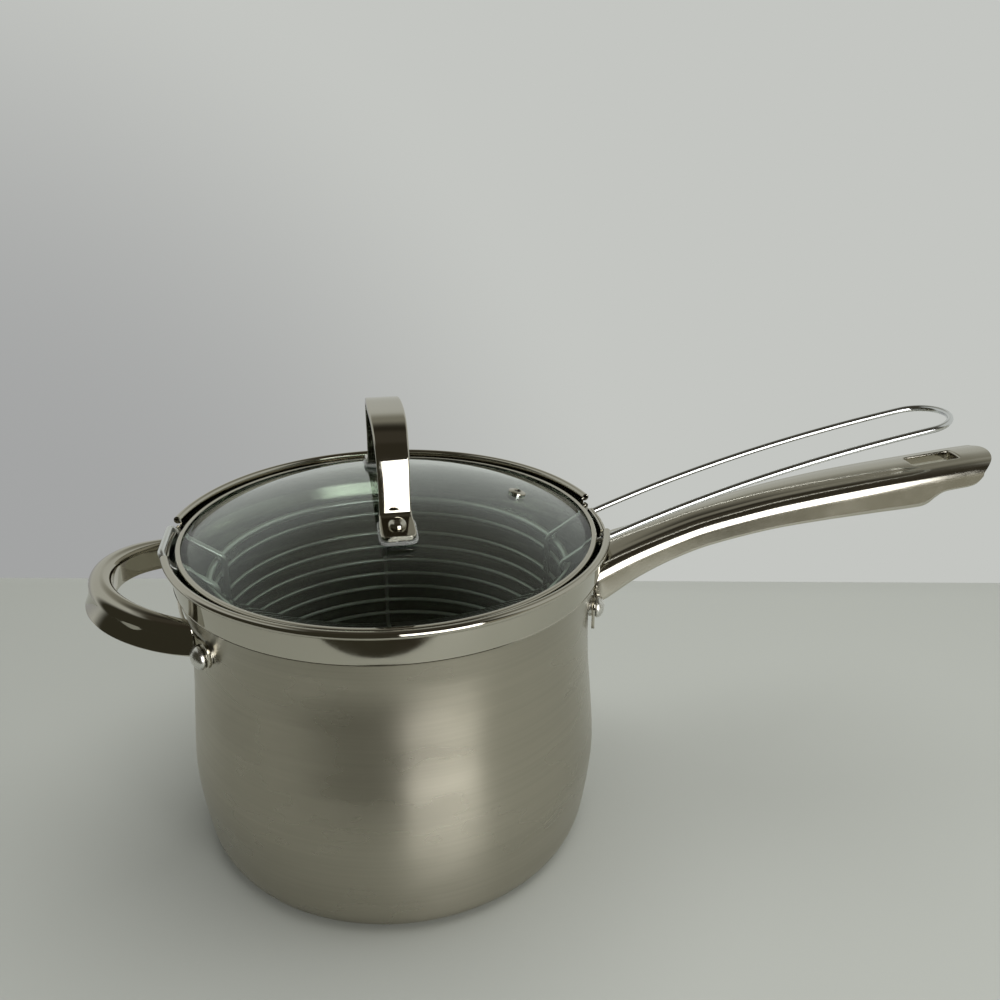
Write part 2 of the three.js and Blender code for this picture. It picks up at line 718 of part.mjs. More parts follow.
const slotTool = new THREE.ExtrudeGeometry(slotShape, {
  depth: CUT_REACH,
  bevelEnabled: false,
  curveSegments: 4,
}).translate(0, 0, gripEndZ - CUT_REACH / 2);
// The end is rounded in plan: what lies outside an arc is cut away.
const endShape = new THREE.Shape();
const endCorner = GRIP_HALF * 0.75;
endShape.moveTo(gripReach - endCorner, -GRIP_HALF - 6);
endShape.lineTo(gripReach + 12, -GRIP_HALF - 6);
endShape.lineTo(gripReach + 12, GRIP_HALF + 6);
endShape.lineTo(gripReach - endCorner, GRIP_HALF + 6);
for (let i = 0; i <= 10; i++) {
  const a = Math.PI / 2 - (Math.PI * i) / 10;
  endShape.lineTo(
    gripReach - endCorner + endCorner * Math.cos(a),
    (GRIP_HALF + 0.2) * Math.sin(a),
  );
}
const endTool = new THREE.ExtrudeGeometry(endShape, {
  depth: CUT_REACH,
  bevelEnabled: false,
}).translate(0, 0, gripEndZ - CUT_REACH * 0.75);
add(
  "long_handle_grip",
  cut(lofted(gripStations), [potEnvelope(bands.long_handle), slotTool, endTool]),
  steel("polished stainless steel handle", 0xcfc8ba, 0.12),
);

// Side handle: a loop of the same channel, wide in the middle and slim at its ends
const loopFoot =
  Math.sqrt(Math.pow(bands.side_handle.outer, 2) - LOOP_HALF * LOOP_HALF) - LOOP_BURIED;
// From the outer flange's edge over the rounded top to the inner flange's edge.
function loopOutline(half, depth, shoulder, flare) {
  const r = Math.min(shoulder, half * 1.4);
  const lip = Math.min(LOOP_LIP, half * 0.9);
  const points = [
    v2(-half - flare, -depth),
    v2(-half - flare * 0.3, -mix(r, depth, 0.5)),
  ];
  for (let i = 0; i <= 3; i++) {
    const a = Math.PI - (Math.PI / 2) * (i / 3);
    points.push(v2(-half + r + r * Math.cos(a), -r + r * Math.sin(a)));
  }
  const top = -half + r;
  points.push(v2(mix(top, half, 0.62), -lip * 0.3), v2(half, -lip), v2(half, -depth + 1));
  return points;
}
function loopSection(half, flare) {
  const outer = loopOutline(half, LOOP_DEPTH, LOOP_SHOULDER, flare);
  const inner = loopOutline(
    half - LOOP_THICKNESS,
    LOOP_DEPTH - LOOP_THICKNESS,
    LOOP_SHOULDER - LOOP_THICKNESS,
    flare,
  ).map((p) => v2(p.x, p.y - LOOP_THICKNESS));
  return [...outer, ...inner.reverse()];
}
const loopSteps = 18;
const loopAt = (t) => {
  const a = mix(-Math.PI / 2, Math.PI / 2, t);
  const out = Math.pow(Math.max(Math.cos(a), 0), 1.06);
  return v3(
    -(loopFoot + (LOOP_REACH + LOOP_BURIED) * out),
    LOOP_HALF * Math.sin(a),
    loopTopZ - LOOP_END_DROP * (1 - out),
  );
};
const loopStations = [];
for (let i = 0; i <= loopSteps; i++) {
  const t = i / loopSteps;
  const at = loopAt(t);
  const ahead = loopAt(Math.min(t + 0.004, 1)).sub(loopAt(Math.max(t - 0.004, 0)));
  ahead.z = 0;
  ahead.normalize();
  const share = Math.pow(Math.sin(Math.PI * t), 0.9);
  const half = mix(LOOP_END_WIDTH, LOOP_WIDTH, share) / 2;
  const side = v3(ahead.y, -ahead.x, 0);
  loopStations.push({ at, side, up: v3(0, 0, 1), flat: loopSection(half, LOOP_FLARE * share) });
}
add(
  "side_handle_loop",
  cut(lofted(loopStations), [potEnvelope(bands.side_handle)]),
  steel("polished stainless steel handle", 0xd3cec3, 0.12),
);

const chrome = steel("chrome plated wire", 0xbfc2c4, 0.15);
add(
  "basket_top_ring",
  new THREE.TorusGeometry(ringRadius, RING_WIRE, 6, 32).translate(0, 0, ringZ),
  chrome.clone(),
);
hoopZ.forEach((z, i) =>
  add(
    "basket_hoop_" + String(i + 1).padStart(2, "0"),
    new THREE.TorusGeometry(hoopRadius, HOOP_WIRE, 5, HOOP_STEPS).translate(0, 0, z),
    chrome.clone(),
  ),
);
for (let i = 0; i < FLOOR_RINGS; i++)
  add(
    "basket_floor_ring_" + String(i + 1),
    new THREE.TorusGeometry(
      mix(hoopRadius, FLOOR_INNER_RADIUS, (i + 1) / FLOOR_RINGS),
      HOOP_WIRE,
      5,
      HOOP_STEPS - 4 * (i + 1),
    ).translate(0, 0, basketFloorZ),
    chrome.clone(),
  );
// One rib goes down one side, under the floor rings and up the other side.
const ribTopZ = ringZ - Math.sqrt(
  Math.pow(RING_WIRE + SEAT_GAP, 2) - Math.pow(Math.min(ribRadius - ringRadius, RING_WIRE), 2),
) - RIB_WIRE;
add(
  "basket_rib",
  wire(
    bent(
      [
        v3(0, -ribRadius, ribTopZ),
        v3(0, -ribRadius, ribFloorZ),
        v3(0, ribRadius, ribFloorZ),
        v3(0, ribRadius, ribTopZ),
      ],
      [9, 9],
      5,
    ),
    RIB_WIRE,
    6,
  ),
  chrome.clone(),
);

// Basket handle: from the floor's middle up the wall, over the ring, through the notch and out
const notchOutX = rimRadius + 1;
const notchOutZ = underLidZ + (notchOutX - rimInX) * NOTCH_SLOPE;
const tipRun = wireReach - FRAME_HALF;
const wireRise = wireTipZ - notchOutZ;
const outShares = [0.12, 0.27, 0.42, 0.57, 0.72, 0.87, 1];
const frameSide = (y) => {
  const corners = [
    v3(0.5, y, frameFloorZ),
    v3(legX, y, frameFloorZ),
    v3(legX, y, kneeZ),
    v3(rimInX, y, underLidZ),
    v3(notchOutX, y, notchOutZ),
  ];
  return bent(corners, [8, 5, 6], 3);
};
const outward = (y) =>
  outShares.map((t) =>
    v3(
      mix(notchOutX, tipRun, t),
      y,
      notchOutZ + wireRise * (1.42 * t - 0.5 * t * t + 0.08 * t * t * t),
    ),
  );
const tip = [];
for (let i = 1; i < 10; i++) {
  const a = Math.PI / 2 - (Math.PI * i) / 10;
  tip.push(v3(tipRun + FRAME_HALF * Math.cos(a), FRAME_HALF * Math.sin(a), wireTipZ));
}
add(
  "basket_handle",
  wire(
    [
      ...frameSide(FRAME_HALF),
      ...outward(FRAME_HALF),
      ...tip,
      ...outward(-FRAME_HALF).reverse(),
      ...frameSide(-FRAME_HALF).reverse(),
    ],
    FRAME_WIRE,
    6,
  ),
  chrome.clone(),
);

// Basket hook: the same frame on the other side, its cross bar resting in the notch
const hookFromX = rimInX + HOOK_RUN;
const hookFromZ = underLidZ + HOOK_RUN * Math.tan(rise);
const hookZ = notchEdgeZ + SEAT_GAP + FRAME_WIRE;
const hookSide = (y) => [
  v3(-0.5, y, frameFloorZ),
  v3(-legX, y, frameFloorZ),
  v3(-legX, y, kneeZ),
  v3(-hookFromX, y, hookFromZ),
  v3(-hookReach, y, hookZ),
];
add(
  "basket_hook",
  wire(
    bent(
      [...hookSide(FRAME_HALF), ...hookSide(-FRAME_HALF).reverse()],
      [8, 5, 6, 3.5, 3.5, 6, 5, 8],
      3,
    ),
    FRAME_WIRE,
    6,
  ),
  chrome.clone(),
);

// Lid: a domed glass held in a steel band that rests on the frame wires
const lidZ = underLidZ + FRAME_WIRE / Math.cos(rise) + SEAT_GAP;
const bandInside = lidRadius - LID_BAND_THICKNESS;
const lidTopZ = lidZ + LID_BAND_HEIGHT;
const flangeIn = lidRadius - LID_FLANGE;
add(
  "lid_band",
  turned(
    [
      [flangeIn, lidZ],
      [lidRadius - 0.5, lidZ],
      [lidRadius, lidZ + 0.5],
      [lidRadius, lidTopZ - 0.5],
      [lidRadius - 0.5, lidTopZ],
      [flangeIn, lidTopZ],
      [flangeIn, lidTopZ - LID_BAND_THICKNESS],
      [bandInside, lidTopZ - LID_BAND_THICKNESS],
      [bandInside, lidZ + LID_BAND_THICKNESS],
      [flangeIn, lidZ + LID_BAND_THICKNESS],
      [flangeIn, lidZ],
    ],
    LID_STEPS,
  ),
  steel("polished steel lid band", 0xbdbcb6, 0.18),
);
const glassBottom = lidZ + LID_BAND_THICKNESS + SEAT_GAP;
const glassTop = Math.min(
  glassBottom + GLASS_THICKNESS,
  lidTopZ - LID_BAND_THICKNESS - SEAT_GAP,
);
const glassEdge = bandInside - SEAT_GAP;
const domeEdge = flangeIn - 1.2;
const domeBall = (domeEdge * domeEdge + GLASS_RISE * GLASS_RISE) / (2 * GLASS_RISE);
const domeTop = glassTop + GLASS_RISE;
const domeAt = (r) => domeTop - domeBall + Math.sqrt(domeBall * domeBall - r * r);
const domeSteps = 5;
const glassUpper = [];
const glassLower = [];
const glassDepth = glassTop - glassBottom;
for (let i = 0; i <= domeSteps; i++) {
  const r = (domeEdge * i) / domeSteps;
  glassUpper.push([r, domeAt(r)]);
  glassLower.push([r, domeAt(r) - glassDepth]);
}
// A piece made about Z at the glass's top face, stood on the dome at a radius and an angle.
function onDome(geometry, r, angle) {
  const lean = Math.asin(r / domeBall);
  return geometry
    .rotateY(lean)
    .translate(r, 0, domeAt(r))
    .rotateZ(rad(angle));
}
const frontAngle = -90 + STRAP_TURN;
const backAngle = 90 + STRAP_TURN;
const screwHole = (angle) =>
  onDome(bore(SCREW_SHANK + HOLE_GAP, -12, 12), screwAt, angle);
const ventHole = onDome(bore(VENT_TUBE + HOLE_GAP, -12, 12), VENT_RADIUS_AT, VENT_ANGLE);
add(
  "lid_glass",
  cut(
    turned(
      [
        ...glassLower,
        [glassEdge, glassBottom],
        [glassEdge, glassTop],
        ...glassUpper.reverse(),
      ],
      LID_STEPS,
    ),
    [screwHole(frontAngle), screwHole(backAngle), ventHole],
  ),
  new THREE.MeshStandardMaterial({
    name: "tempered glass",
    color: 0xdfe6e2,
    roughness: 0.03,
    transparent: true,
    opacity: 0.25,
  }),
);
add(
  "lid_vent_eyelet",
  onDome(
    turned(
      [
        [VENT_BORE, -glassDepth - 1.1],
        [VENT_FLANGE - 0.4, -glassDepth - 1.1],
        [VENT_FLANGE - 0.4, -glassDepth - SEAT_GAP],
        [VENT_TUBE, -glassDepth - SEAT_GAP],
        [VENT_TUBE, SEAT_GAP],
        [VENT_FLANGE, SEAT_GAP],
        [VENT_FLANGE - 0.3, 1.1],
        [VENT_BORE + 0.5, 1.4],
        [VENT_BORE, 1.1],
        [VENT_BORE, -glassDepth - 1.1],
      ],
      12,
    ),
    VENT_RADIUS_AT,
    VENT_ANGLE,
  ),
  steel("eyelet steel", 0xb4b3ae, 0.25),
);

// Lid handle: a strap that arches over the middle and stands on two flat feet
const footLean = Math.asin(screwAt / domeBall);
const footBase = PAD_THICKNESS + 2 * SEAT_GAP + STRAP_THICKNESS / 2;
const footPoint = (along, height) => {
  const r = screwAt + along * Math.cos(footLean) + height * Math.sin(footLean);
  return v3(0, r, domeAt(screwAt) - along * Math.sin(footLean) + height * Math.cos(footLean));
};
const strapMid = STRAP_HALF - STRAP_THICKNESS / 2;
const footEnd = STRAP_HALF + STRAP_FOOT_LENGTH - screwAt;
const ankle = footPoint(strapMid - screwAt, footBase);
const strapTopZ = domeTop + STRAP_TOP - STRAP_THICKNESS / 2;
const strapHeight = strapTopZ - ankle.z;
const archAt = (share) => {
  const a = (Math.PI / 2) * share;
  const y = strapMid * Math.pow(Math.cos(a), 0.62);
  return v3(0, y, ankle.z + strapHeight * (0.3 + 0.7 * Math.pow(Math.sin(a), 0.86)));
};
const halfStrap = [
  { at: footPoint(footEnd, footBase), width: STRAP_FOOT_WIDTH - 4 },
  { at: footPoint(footEnd - 0.7, footBase), width: STRAP_FOOT_WIDTH - 1.2 },
  { at: footPoint(footEnd - 2.0, footBase), width: STRAP_FOOT_WIDTH },
  { at: footPoint(-1.0, footBase), width: STRAP_FOOT_WIDTH },
];
const ankleBend = bent(
  [halfStrap[3].at, ankle, archAt(0)],
  [3.2],
  5,
).slice(1, -1);
ankleBend.forEach((at, i) =>
  halfStrap.push({ at, width: mix(STRAP_FOOT_WIDTH - 1, STRAP_LEG_WIDTH, (i + 1) / 6) }),
);
const archSteps = 9;
for (let i = 0; i < archSteps; i++) {
  const share = i / archSteps;
  halfStrap.push({
    at: archAt(share),
    width: mix(STRAP_LEG_WIDTH, STRAP_TOP_WIDTH, Math.pow(share, 1.4)),
  });
}
const fullStrap = [
  ...halfStrap,
  { at: v3(0, 0, strapTopZ), width: STRAP_TOP_WIDTH },
  ...halfStrap
    .slice()
    .reverse()
    .map(({ at, width }) => ({ at: v3(0, -at.y, at.z), width })),
];
// Strap section: flat with rounded edges.
function strapFlat(width) {
  const [w, h] = [width / 2, STRAP_THICKNESS / 2];
  const pull = h * 0.9;
  const upper = [v2(w, h * 0.35), v2(w - pull, h), v2(-w + pull, h), v2(-w, h * 0.35)];
  return [...upper, v2(-w, -h * 0.35), v2(-w + pull, -h), v2(w - pull, -h), v2(w, -h * 0.35)];
}
const strapStations = fullStrap.map(({ at, width }, i) => {
  const a = fullStrap[Math.max(i - 1, 0)].at;
  const b = fullStrap[Math.min(i + 1, fullStrap.length - 1)].at;
  const back = at.clone().sub(a).normalize();
  const ahead = b.clone().sub(at).normalize();
  const t = back.add(ahead).normalize();
  return { at, side: v3(1, 0, 0), up: v3(0, 0, 0).crossVectors(t, v3(1, 0, 0)), flat: strapFlat(width) };
});
add(
  "lid_handle_strap",
  cut(lofted(strapStations).rotateZ(rad(STRAP_TURN)), [screwHole(frontAngle), screwHole(backAngle)]),
  steel("polished stainless steel strap", 0xcac3b6, 0.1),
);

for (const [side, angle] of [["front", frontAngle], ["back", backAngle]]) {
  const padHalf = STRAP_FOOT_WIDTH / 2 + PAD_OVERHANG;
  const padFrom = STRAP_HALF - screwAt - 1.5;
  const padTo = footEnd + PAD_OVERHANG;
  const padShape = new THREE.Shape();
  padShape.moveTo(padFrom, -padHalf + 3);
  padShape.quadraticCurveTo(padFrom, -padHalf, padFrom + 3, -padHalf);
  padShape.lineTo(padTo - 5, -padHalf);
  padShape.quadraticCurveTo(padTo, -padHalf, padTo, -padHalf + 6);
  padShape.lineTo(padTo, padHalf - 6);
  padShape.quadraticCurveTo(padTo, padHalf, padTo - 5, padHalf);
  padShape.lineTo(padFrom + 3, padHalf);
  padShape.quadraticCurveTo(padFrom, padHalf, padFrom, padHalf - 3);
  const pad = new THREE.ExtrudeGeometry(padShape, {
    depth: PAD_THICKNESS,
    bevelEnabled: false,
    curveSegments: 3,
  }).translate(0, 0, SEAT_GAP);
  add(
    "lid_pad_" + side,
    cut(onDome(pad, screwAt, angle), [screwHole(angle)]),
    new THREE.MeshStandardMaterial({ name: "clear silicone pad", color: 0xd8dcd8, roughness: 0.3 }),
  );
  const headFrom = footBase + STRAP_THICKNESS / 2 + SEAT_GAP;
  const washerTop = -glassDepth - SEAT_GAP - 0.2;
  const nutTop = washerTop - WASHER_THICKNESS - SEAT_GAP;
  const screwEnd = nutTop - NUT_HEIGHT - 0.8;
  add(
    "lid_screw_" + side,
    onDome(
      turned(
        [
          [0, screwEnd],
          [SCREW_SHANK, screwEnd],
          [SCREW_SHANK, headFrom],
          [SCREW_HEAD, headFrom],
          [SCREW_HEAD * 0.94, headFrom + 0.9],
          [SCREW_HEAD * 0.66, headFrom + 1.8],
          [SCREW_HEAD * 0.3, headFrom + 2.25],
          [0, headFrom + 2.35],
        ],
        12,
      ),
      screwAt,
      angle,
    ),
    steel("screw steel", 0xc9c8c3, 0.15),
  );
  add(
    "lid_washer_" + side,
    onDome(
      turned(
        [
          [SCREW_SHANK + HOLE_GAP, washerTop - WASHER_THICKNESS],
          [WASHER_RADIUS, washerTop - WASHER_THICKNESS],
          [WASHER_RADIUS, washerTop],
          [SCREW_SHANK + HOLE_GAP, washerTop],
          [SCREW_SHANK + HOLE_GAP, washerTop - WASHER_THICKNESS],
        ],
        16,
      ),
      screwAt,
      angle,
    ),
    new THREE.MeshStandardMaterial({ name: "silicone washer", color: 0xd0d3d0, roughness: 0.5 }),
  );
  add(
    "lid_nut_" + side,
    onDome(
      cut(
        turned(
          [
            [0, nutTop - NUT_HEIGHT],
            [NUT_RADIUS, nutTop - NUT_HEIGHT],
            [NUT_RADIUS, nutTop],
            [0, nutTop],
          ],
          6,
        ),
        [bore(SCREW_SHANK + HOLE_GAP, nutTop - NUT_HEIGHT - 2, nutTop + 2)],
      ),
      screwAt,
      angle,
    ),
    steel("nut steel", 0xb7b6b1, 0.3),
  );
}

export default group;
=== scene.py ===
"""Stockpot with a lift-out wire basket and a domed glass lid, dressed over its packed frame.

Inside the functions lengths are millimetres in the frame's axes: the origin is on the pot's axis at
its bottom face, +X runs along the long handle and +Z is up. Meshes become metres as they are made.
"""

import math
from functools import cache
from types import SimpleNamespace

import bmesh
import bpy
from mathutils import Euler, Matrix, Vector


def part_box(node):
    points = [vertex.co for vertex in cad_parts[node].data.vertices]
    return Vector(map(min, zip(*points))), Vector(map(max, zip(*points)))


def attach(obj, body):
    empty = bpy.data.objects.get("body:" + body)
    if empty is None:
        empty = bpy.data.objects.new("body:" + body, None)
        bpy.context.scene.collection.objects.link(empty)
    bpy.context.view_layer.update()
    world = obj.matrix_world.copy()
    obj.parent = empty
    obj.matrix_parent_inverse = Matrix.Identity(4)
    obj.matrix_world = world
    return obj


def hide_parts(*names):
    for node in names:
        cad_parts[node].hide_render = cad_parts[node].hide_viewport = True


bl_info = {
    "name": "Stockpot with basket",
    "version": (1, 0, 0),
    "blender": (4, 5, 0),
    "location": "View3D > Sidebar > Stockpot",
    "description": "Builds a stockpot, its wire basket and its glass lid over their packed frame",
    "category": "Add Mesh",
}

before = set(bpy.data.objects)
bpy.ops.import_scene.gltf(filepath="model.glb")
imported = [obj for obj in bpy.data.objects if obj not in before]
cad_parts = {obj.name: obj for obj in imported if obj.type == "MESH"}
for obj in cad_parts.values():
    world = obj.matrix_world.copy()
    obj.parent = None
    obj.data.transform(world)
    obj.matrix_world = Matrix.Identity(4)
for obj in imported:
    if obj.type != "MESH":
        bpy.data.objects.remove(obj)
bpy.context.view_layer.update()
MM = 0.001
SMOOTH_ANGLE = math.radians(38)
BEVEL_ANGLE = math.radians(50)
# Lengths in millimetres: between pieces that rest on each other, round a pin in its hole, along the
# softened edge of pressed sheet, and between points that count as one.
SEAT_GAP = 0.3
HOLE_GAP = 0.2
PRESSED_EDGE = 0.35
ONE_POINT = 0.002
# A corner this near the axis, in millimetres, or this near straight, in radians, isn't rounded, and
# a rounding takes no more than this share of a side.
ON_AXIS = 1e-6
NEAR_STRAIGHT = 0.02
SIDE_SHARE = 0.45
# How finely round wires are drawn
HOOP_STEPS = 160
HOOP_SIDES = 12
WIRE_SIDES = 20


# Reading the frame
@cache
def span(node):
    """Return the lowest and the highest corner of a frame node in millimetres."""
    low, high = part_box(node)
    return low / MM, high / MM


def ring_of(node, wire):
    """Return the radius and the height of a round wire ring in the frame."""
    low, high = span(node)
    return high.y - wire, (low.z + high.z) / 2


def pin_of(node):
    """Return the angle round the pot and the height of a short radial piece in the frame."""
    low, high = span(node)
    middle = (low + high) / 2
    return math.atan2(middle.y, middle.x), middle.z


# Properties
def size(label, length, note):
    """Return a length property from a default in millimetres."""
    return bpy.props.FloatProperty(
        name=label, description=note, default=length * MM, min=0.0, unit="LENGTH", precision=5
    )


def linear(hex_code):
    """Turn an sRGB hex colour into linear red, green and blue."""
    parts = [int(hex_code[i : i + 2], 16) / 255 for i in (1, 3, 5)]
    return tuple(c / 12.92 if c <= 0.04045 else ((c + 0.055) / 1.055) ** 2.4 for c in parts)


def colour(label, hex_code, note):
    """Return a colour property from an sRGB hex default."""
    return bpy.props.FloatVectorProperty(
        name=label, description=note, default=linear(hex_code), subtype="COLOR", min=0.0, max=1.0
    )


def turn_by(label, degrees, note):
    """Return an angle property from a default in degrees."""
    return bpy.props.FloatProperty(
        name=label, description=note, default=math.radians(degrees), subtype="ANGLE"
    )


def in_mm(context, part):
    """Return the scene's lengths for a part of the object in millimetres, by name."""
    group = getattr(context.scene, "stockpot_" + part)
    names = type(group).__annotations__
    return SimpleNamespace(**{name: getattr(group, name) / MM for name in names})


class PotSizes(bpy.types.PropertyGroup):
    """Sizes of the pot's body and base."""

    height: size("Height", span("pot_shell")[1].z, "Floor to the top of the rolled rim")
    rim: size("Rim radius", span("pot_shell")[1].y, "Axis to the outside of the rolled rim")
    wall: size("Wall", 1.0, "Thickness of the body's sheet")
    roll: size("Roll radius", 1.8, "Radius of the rolled edge")
    roll_sheet: size("Roll sheet", 0.85, "Thickness of the sheet in the roll")
    roll_out: size("Roll offset", 2.4, "Middle of the roll outside the rim band's lower edge")
    band_height: size("Band height", 16.7, "Polished band up to the top of the roll")
    band_lip: size("Band lip", 0.22, "Ridge along the band's lower edge")
    belly_in: size("Belly inset", 0.2, "Widest body ring inside the band's lower edge")
    belly_z: size("Belly height", 48, "Height of the widest body ring")
    neck_in: size("Neck inset", 4.7, "Narrowest ring inside the band's lower edge")
    neck_drop: size("Neck drop", 45, "Top of the roll down to the narrowest ring")
    foot_in: size("Foot inset", 7.1, "Ring above the bottom corner inside the band's lower edge")
    base_in: size("Base inset", 15.9, "Start of the bottom corner inside the band's lower edge")
    base_lift: size("Base lift", 0.6, "Start of the bottom corner above the floor")
    notch_half: size("Notch half width", 21.4, "Half width of the cut in the roll")
    notch_drop: size("Notch drop", 4.4, "Top of the roll down to the cut's edge")
    slot_half: size("Wire slot half width", 2.4, "Half width of the slot for one basket wire")
    lip_sheet: size("Notch lip", 1.5, "Thickness of the rolled edge where it is pressed flat")
    lip_height: size("Notch lip height", 4.6, "Height of that flattened edge")


class HandleSizes(bpy.types.PropertyGroup):
    """Sizes of the long handle, the side handle and their rivets."""

    sheet: size("Handle sheet", 1.4, "Thickness of the pressed steel")
    grip_root_out: size("Grip root offset", 7.1, "Where the root height is taken, outside the rim band")
    grip_root_drop: size("Grip root drop", 16.8, "Top of the roll down to the handle at its root")
    grip_rise: size("Grip rise", 38.8, "Root to the top of the handle's end")
    grip_half: size("Grip half width", 15.2, "Half width along the grip")
    grip_waist: size("Grip waist", 13.0, "Half width at the narrow part")
    grip_root_half: size("Grip root half width", 17.5, "Half width at the pot")
    grip_shoulder: size("Grip shoulder", 6.5, "Rounding of the upper edges")
    grip_crown: size("Grip crown", 1.2, "Bulge of the top above its shoulders")
    slot_length: size("Hanging slot length", 25, "Length of the slot near the end")
    slot_width: size("Hanging slot width", 10.5, "Width of that slot")
    slot_margin: size("Hanging slot margin", 17, "Slot to the end of the handle")
    slot_corner: size("Hanging slot corner", 1.4, "Rounding of the slot's corners")
    slot_hem: size("Hanging slot hem", 0.9, "Radius of the slot's turned-down edge")
    slot_wall: size("Hanging slot wall", 5.0, "Height of the straight wall below that edge")
    loop_reach: size("Loop reach", 44.5, "How far the side loop stands out from its ends")
    loop_half: size("Loop half length", 44.6, "Half distance between its ends")
    loop_buried: size("Loop trim", 5, "Length of each end that is trimmed to the plate")
    loop_width: size("Loop width", 10.6, "Radial width at the middle")
    loop_end_width: size("Loop end width", 5.6, "Radial width at the ends")
    loop_depth: size("Loop depth", 15.4, "Height of the section")
    loop_drop: size("Loop drop", 13.4, "Top of the roll down to the loop's middle")
    loop_end_drop: size("Loop end drop", 9.3, "The ends below the middle")
    loop_shoulder: size("Loop shoulder", 6.0, "Rounding of the outer upper edge")
    loop_lip: size("Loop lip", 4.4, "The rolled inner edge below the top")
    loop_flare: size("Loop flare", 2.6, "Lean of the outer flange at the middle")
    plate_thickness: size("Plate thickness", 1.4, "Thickness of the riveted plates")
    plate_corner: size("Plate corner", 4.0, "Rounding of the plates' corners")
    rivet_shank: size("Rivet shank", 2.8, "Radius of a rivet's shank")
    rivet_head: size("Rivet head", 5.6, "Radius of a rivet's head")
    rivet_edge: size("Rivet edge", 0.6, "Straight side of a head")
    rivet_dome: size("Rivet dome", 3.5, "Height of the rounded top of a head")
    rivet_tail: size("Rivet tail", 1.4, "Thickness of the flat head inside the pot")


class BasketSizes(bpy.types.PropertyGroup):
    """Sizes of the basket's wires."""

    ring_wire: size("Ring wire", 1.8, "Wire radius of the top ring")
    hoop_wire: size("Hoop wire", 1.0, "Wire radius of the hoops and floor rings")
    frame_wire: size("Frame wire", 1.6, "Wire radius of the handle and the hook")
    rib_wire: size("Rib wire", 1.1, "Wire radius of the rib")
    frame_half: size("Frame half width", 15.8, "Half distance between the two frame wires")
    reach: size("Handle reach", 279, "Axis to the middle of the wire at the handle's tip")
    tip_rise: size("Tip rise", 42.2, "The handle's tip above the top of the rim")
    hook_out: size("Hook offset", 2.7, "The hook's cross bar outside the rim band's lower edge")
    hook_run: size("Hook run", 1.6, "Straight wire outside the lid before it turns up")
    weld: size("Weld bead", 1.15, "Radius of a spot weld")


class LidSizes(bpy.types.PropertyGroup):
    """Sizes of the lid and of what is fixed to it."""

    band_sheet: size("Band sheet", 0.6, "Thickness of the lid's steel band")
    flange: size("Band flange", 2.4, "How far the band wraps over the glass")
    glass_rise: size("Glass rise", 20.9, "Height of the dome above its flat edge")
    vent_at: size("Vent radius", 63, "Axis to the steam vent")
    vent_bore: size("Vent bore", 1.6, "Radius of the steam vent")
    vent_tube: size("Vent tube", 3.0, "Radius of the eyelet's tube")
    vent_flange: size("Vent flange", 4.4, "Radius of the eyelet's flange")
    strap_top: size("Strap top", 40.6, "The strap's top above the glass")
    strap_half: size("Strap half length", 36, "Half distance between the legs' outer faces")
    strap_leg: size("Strap leg width", 14, "Width of a leg")
    strap_width: size("Strap top width", 16.6, "Width at the top")
    foot_width: size("Foot width", 15.6, "Width of a foot")
    foot_length: size("Foot length", 16, "Length of a foot")
    strap_thickness: size("Strap thickness", 2.4, "Thickness of the strap")
    pad: size("Pad thickness", 1.8, "Thickness of the clear pads under the feet")
    pad_overhang: size("Pad overhang", 0.7, "Pad showing outside a foot")
    screw_out: size("Screw offset", 7.5, "Each screw outside its leg's outer face")
    screw_shank: size("Screw shank", 1.9, "Radius of a screw's shank")
    screw_head: size("Screw head", 3.9, "Radius of a screw's head")
    screw_dome: size("Screw dome", 2.9, "Height of the rounded top of a head")
    nut: size("Nut radius", 4.0, "Axis to a corner of a nut")
    nut_height: size("Nut height", 3.2, "Height of a nut")
    washer: size("Washer radius", 6.0, "Radius of a washer")
    washer_thickness: size("Washer thickness", 1.2, "Thickness of a washer")


class FinishColours(bpy.types.PropertyGroup):
    """Colours of the finishes."""

    body: colour("Brushed body", "#b2ad9e", "Satin stainless steel of the body")
    polished: colour("Polished steel", "#c2beb1", "Mirror polished stainless steel")
    rivet: colour("Rivets", "#dddcd6", "Tumbled stainless steel of the rivets")
    grip: colour("Long handle", "#c2beb1", "Buffed stainless steel of the long handle")
    # The inside's tint is darker than the outside steel's: painted shade of the pot's inside.
    inside: colour("Inside", "#979b90", "Satin stainless steel inside the pot")
    wire: colour("Plated wire", "#e2e4e4", "Bright plated wire of the basket's handle")
    cage: colour("Basket cage", "#eff1ef", "Satin plated wire of the basket's hoops and rings")
    base: colour("Base", "#a3a29d", "Turned steel under the pot")
    core: colour("Aluminium core", "#bfc1c2", "Aluminium disc closed in by the base")
    glass: colour("Glass", "#e0eae2", "Tempered glass of the lid")
    pad: colour("Clear silicone", "#e3e6e2", "Pads and washers of the lid")
    floor: colour("Floor", "#bbbeb8", "Pale stage floor")
    surround: colour("Surround", "#c4c6c2", "Pale studio round the stage")


class LidAngles(bpy.types.PropertyGroup):
    """Angles of the lid's fittings."""

    strap_turn: turn_by("Strap turn", 2, "Turn of the strap from square to the long handle")
    vent_turn: turn_by("Vent turn", 6, "Turn of the steam vent from the long handle's line")


# Small geometry
def mix(a, b, share):
    """Return the value a share of the way from a to b."""
    return a + (b - a) * share


def smooth_through(points, per_span):
    """Return points of a smooth curve through the given vectors, both ends included."""
    last = len(points) - 1
    out = []
    for i in range(last):
        a, b, c, d = (points[max(min(k, last), 0)] for k in (i - 1, i, i + 1, i + 2))
        for step in range(per_span):
            t = step / per_span
            bend = (2 * a - 5 * b + 4 * c - d) * t * t + (3 * b - a - 3 * c + d) * t**3
            out.append((2 * b + (c - a) * t + bend) / 2)
    out.append(points[last].copy())
    return out


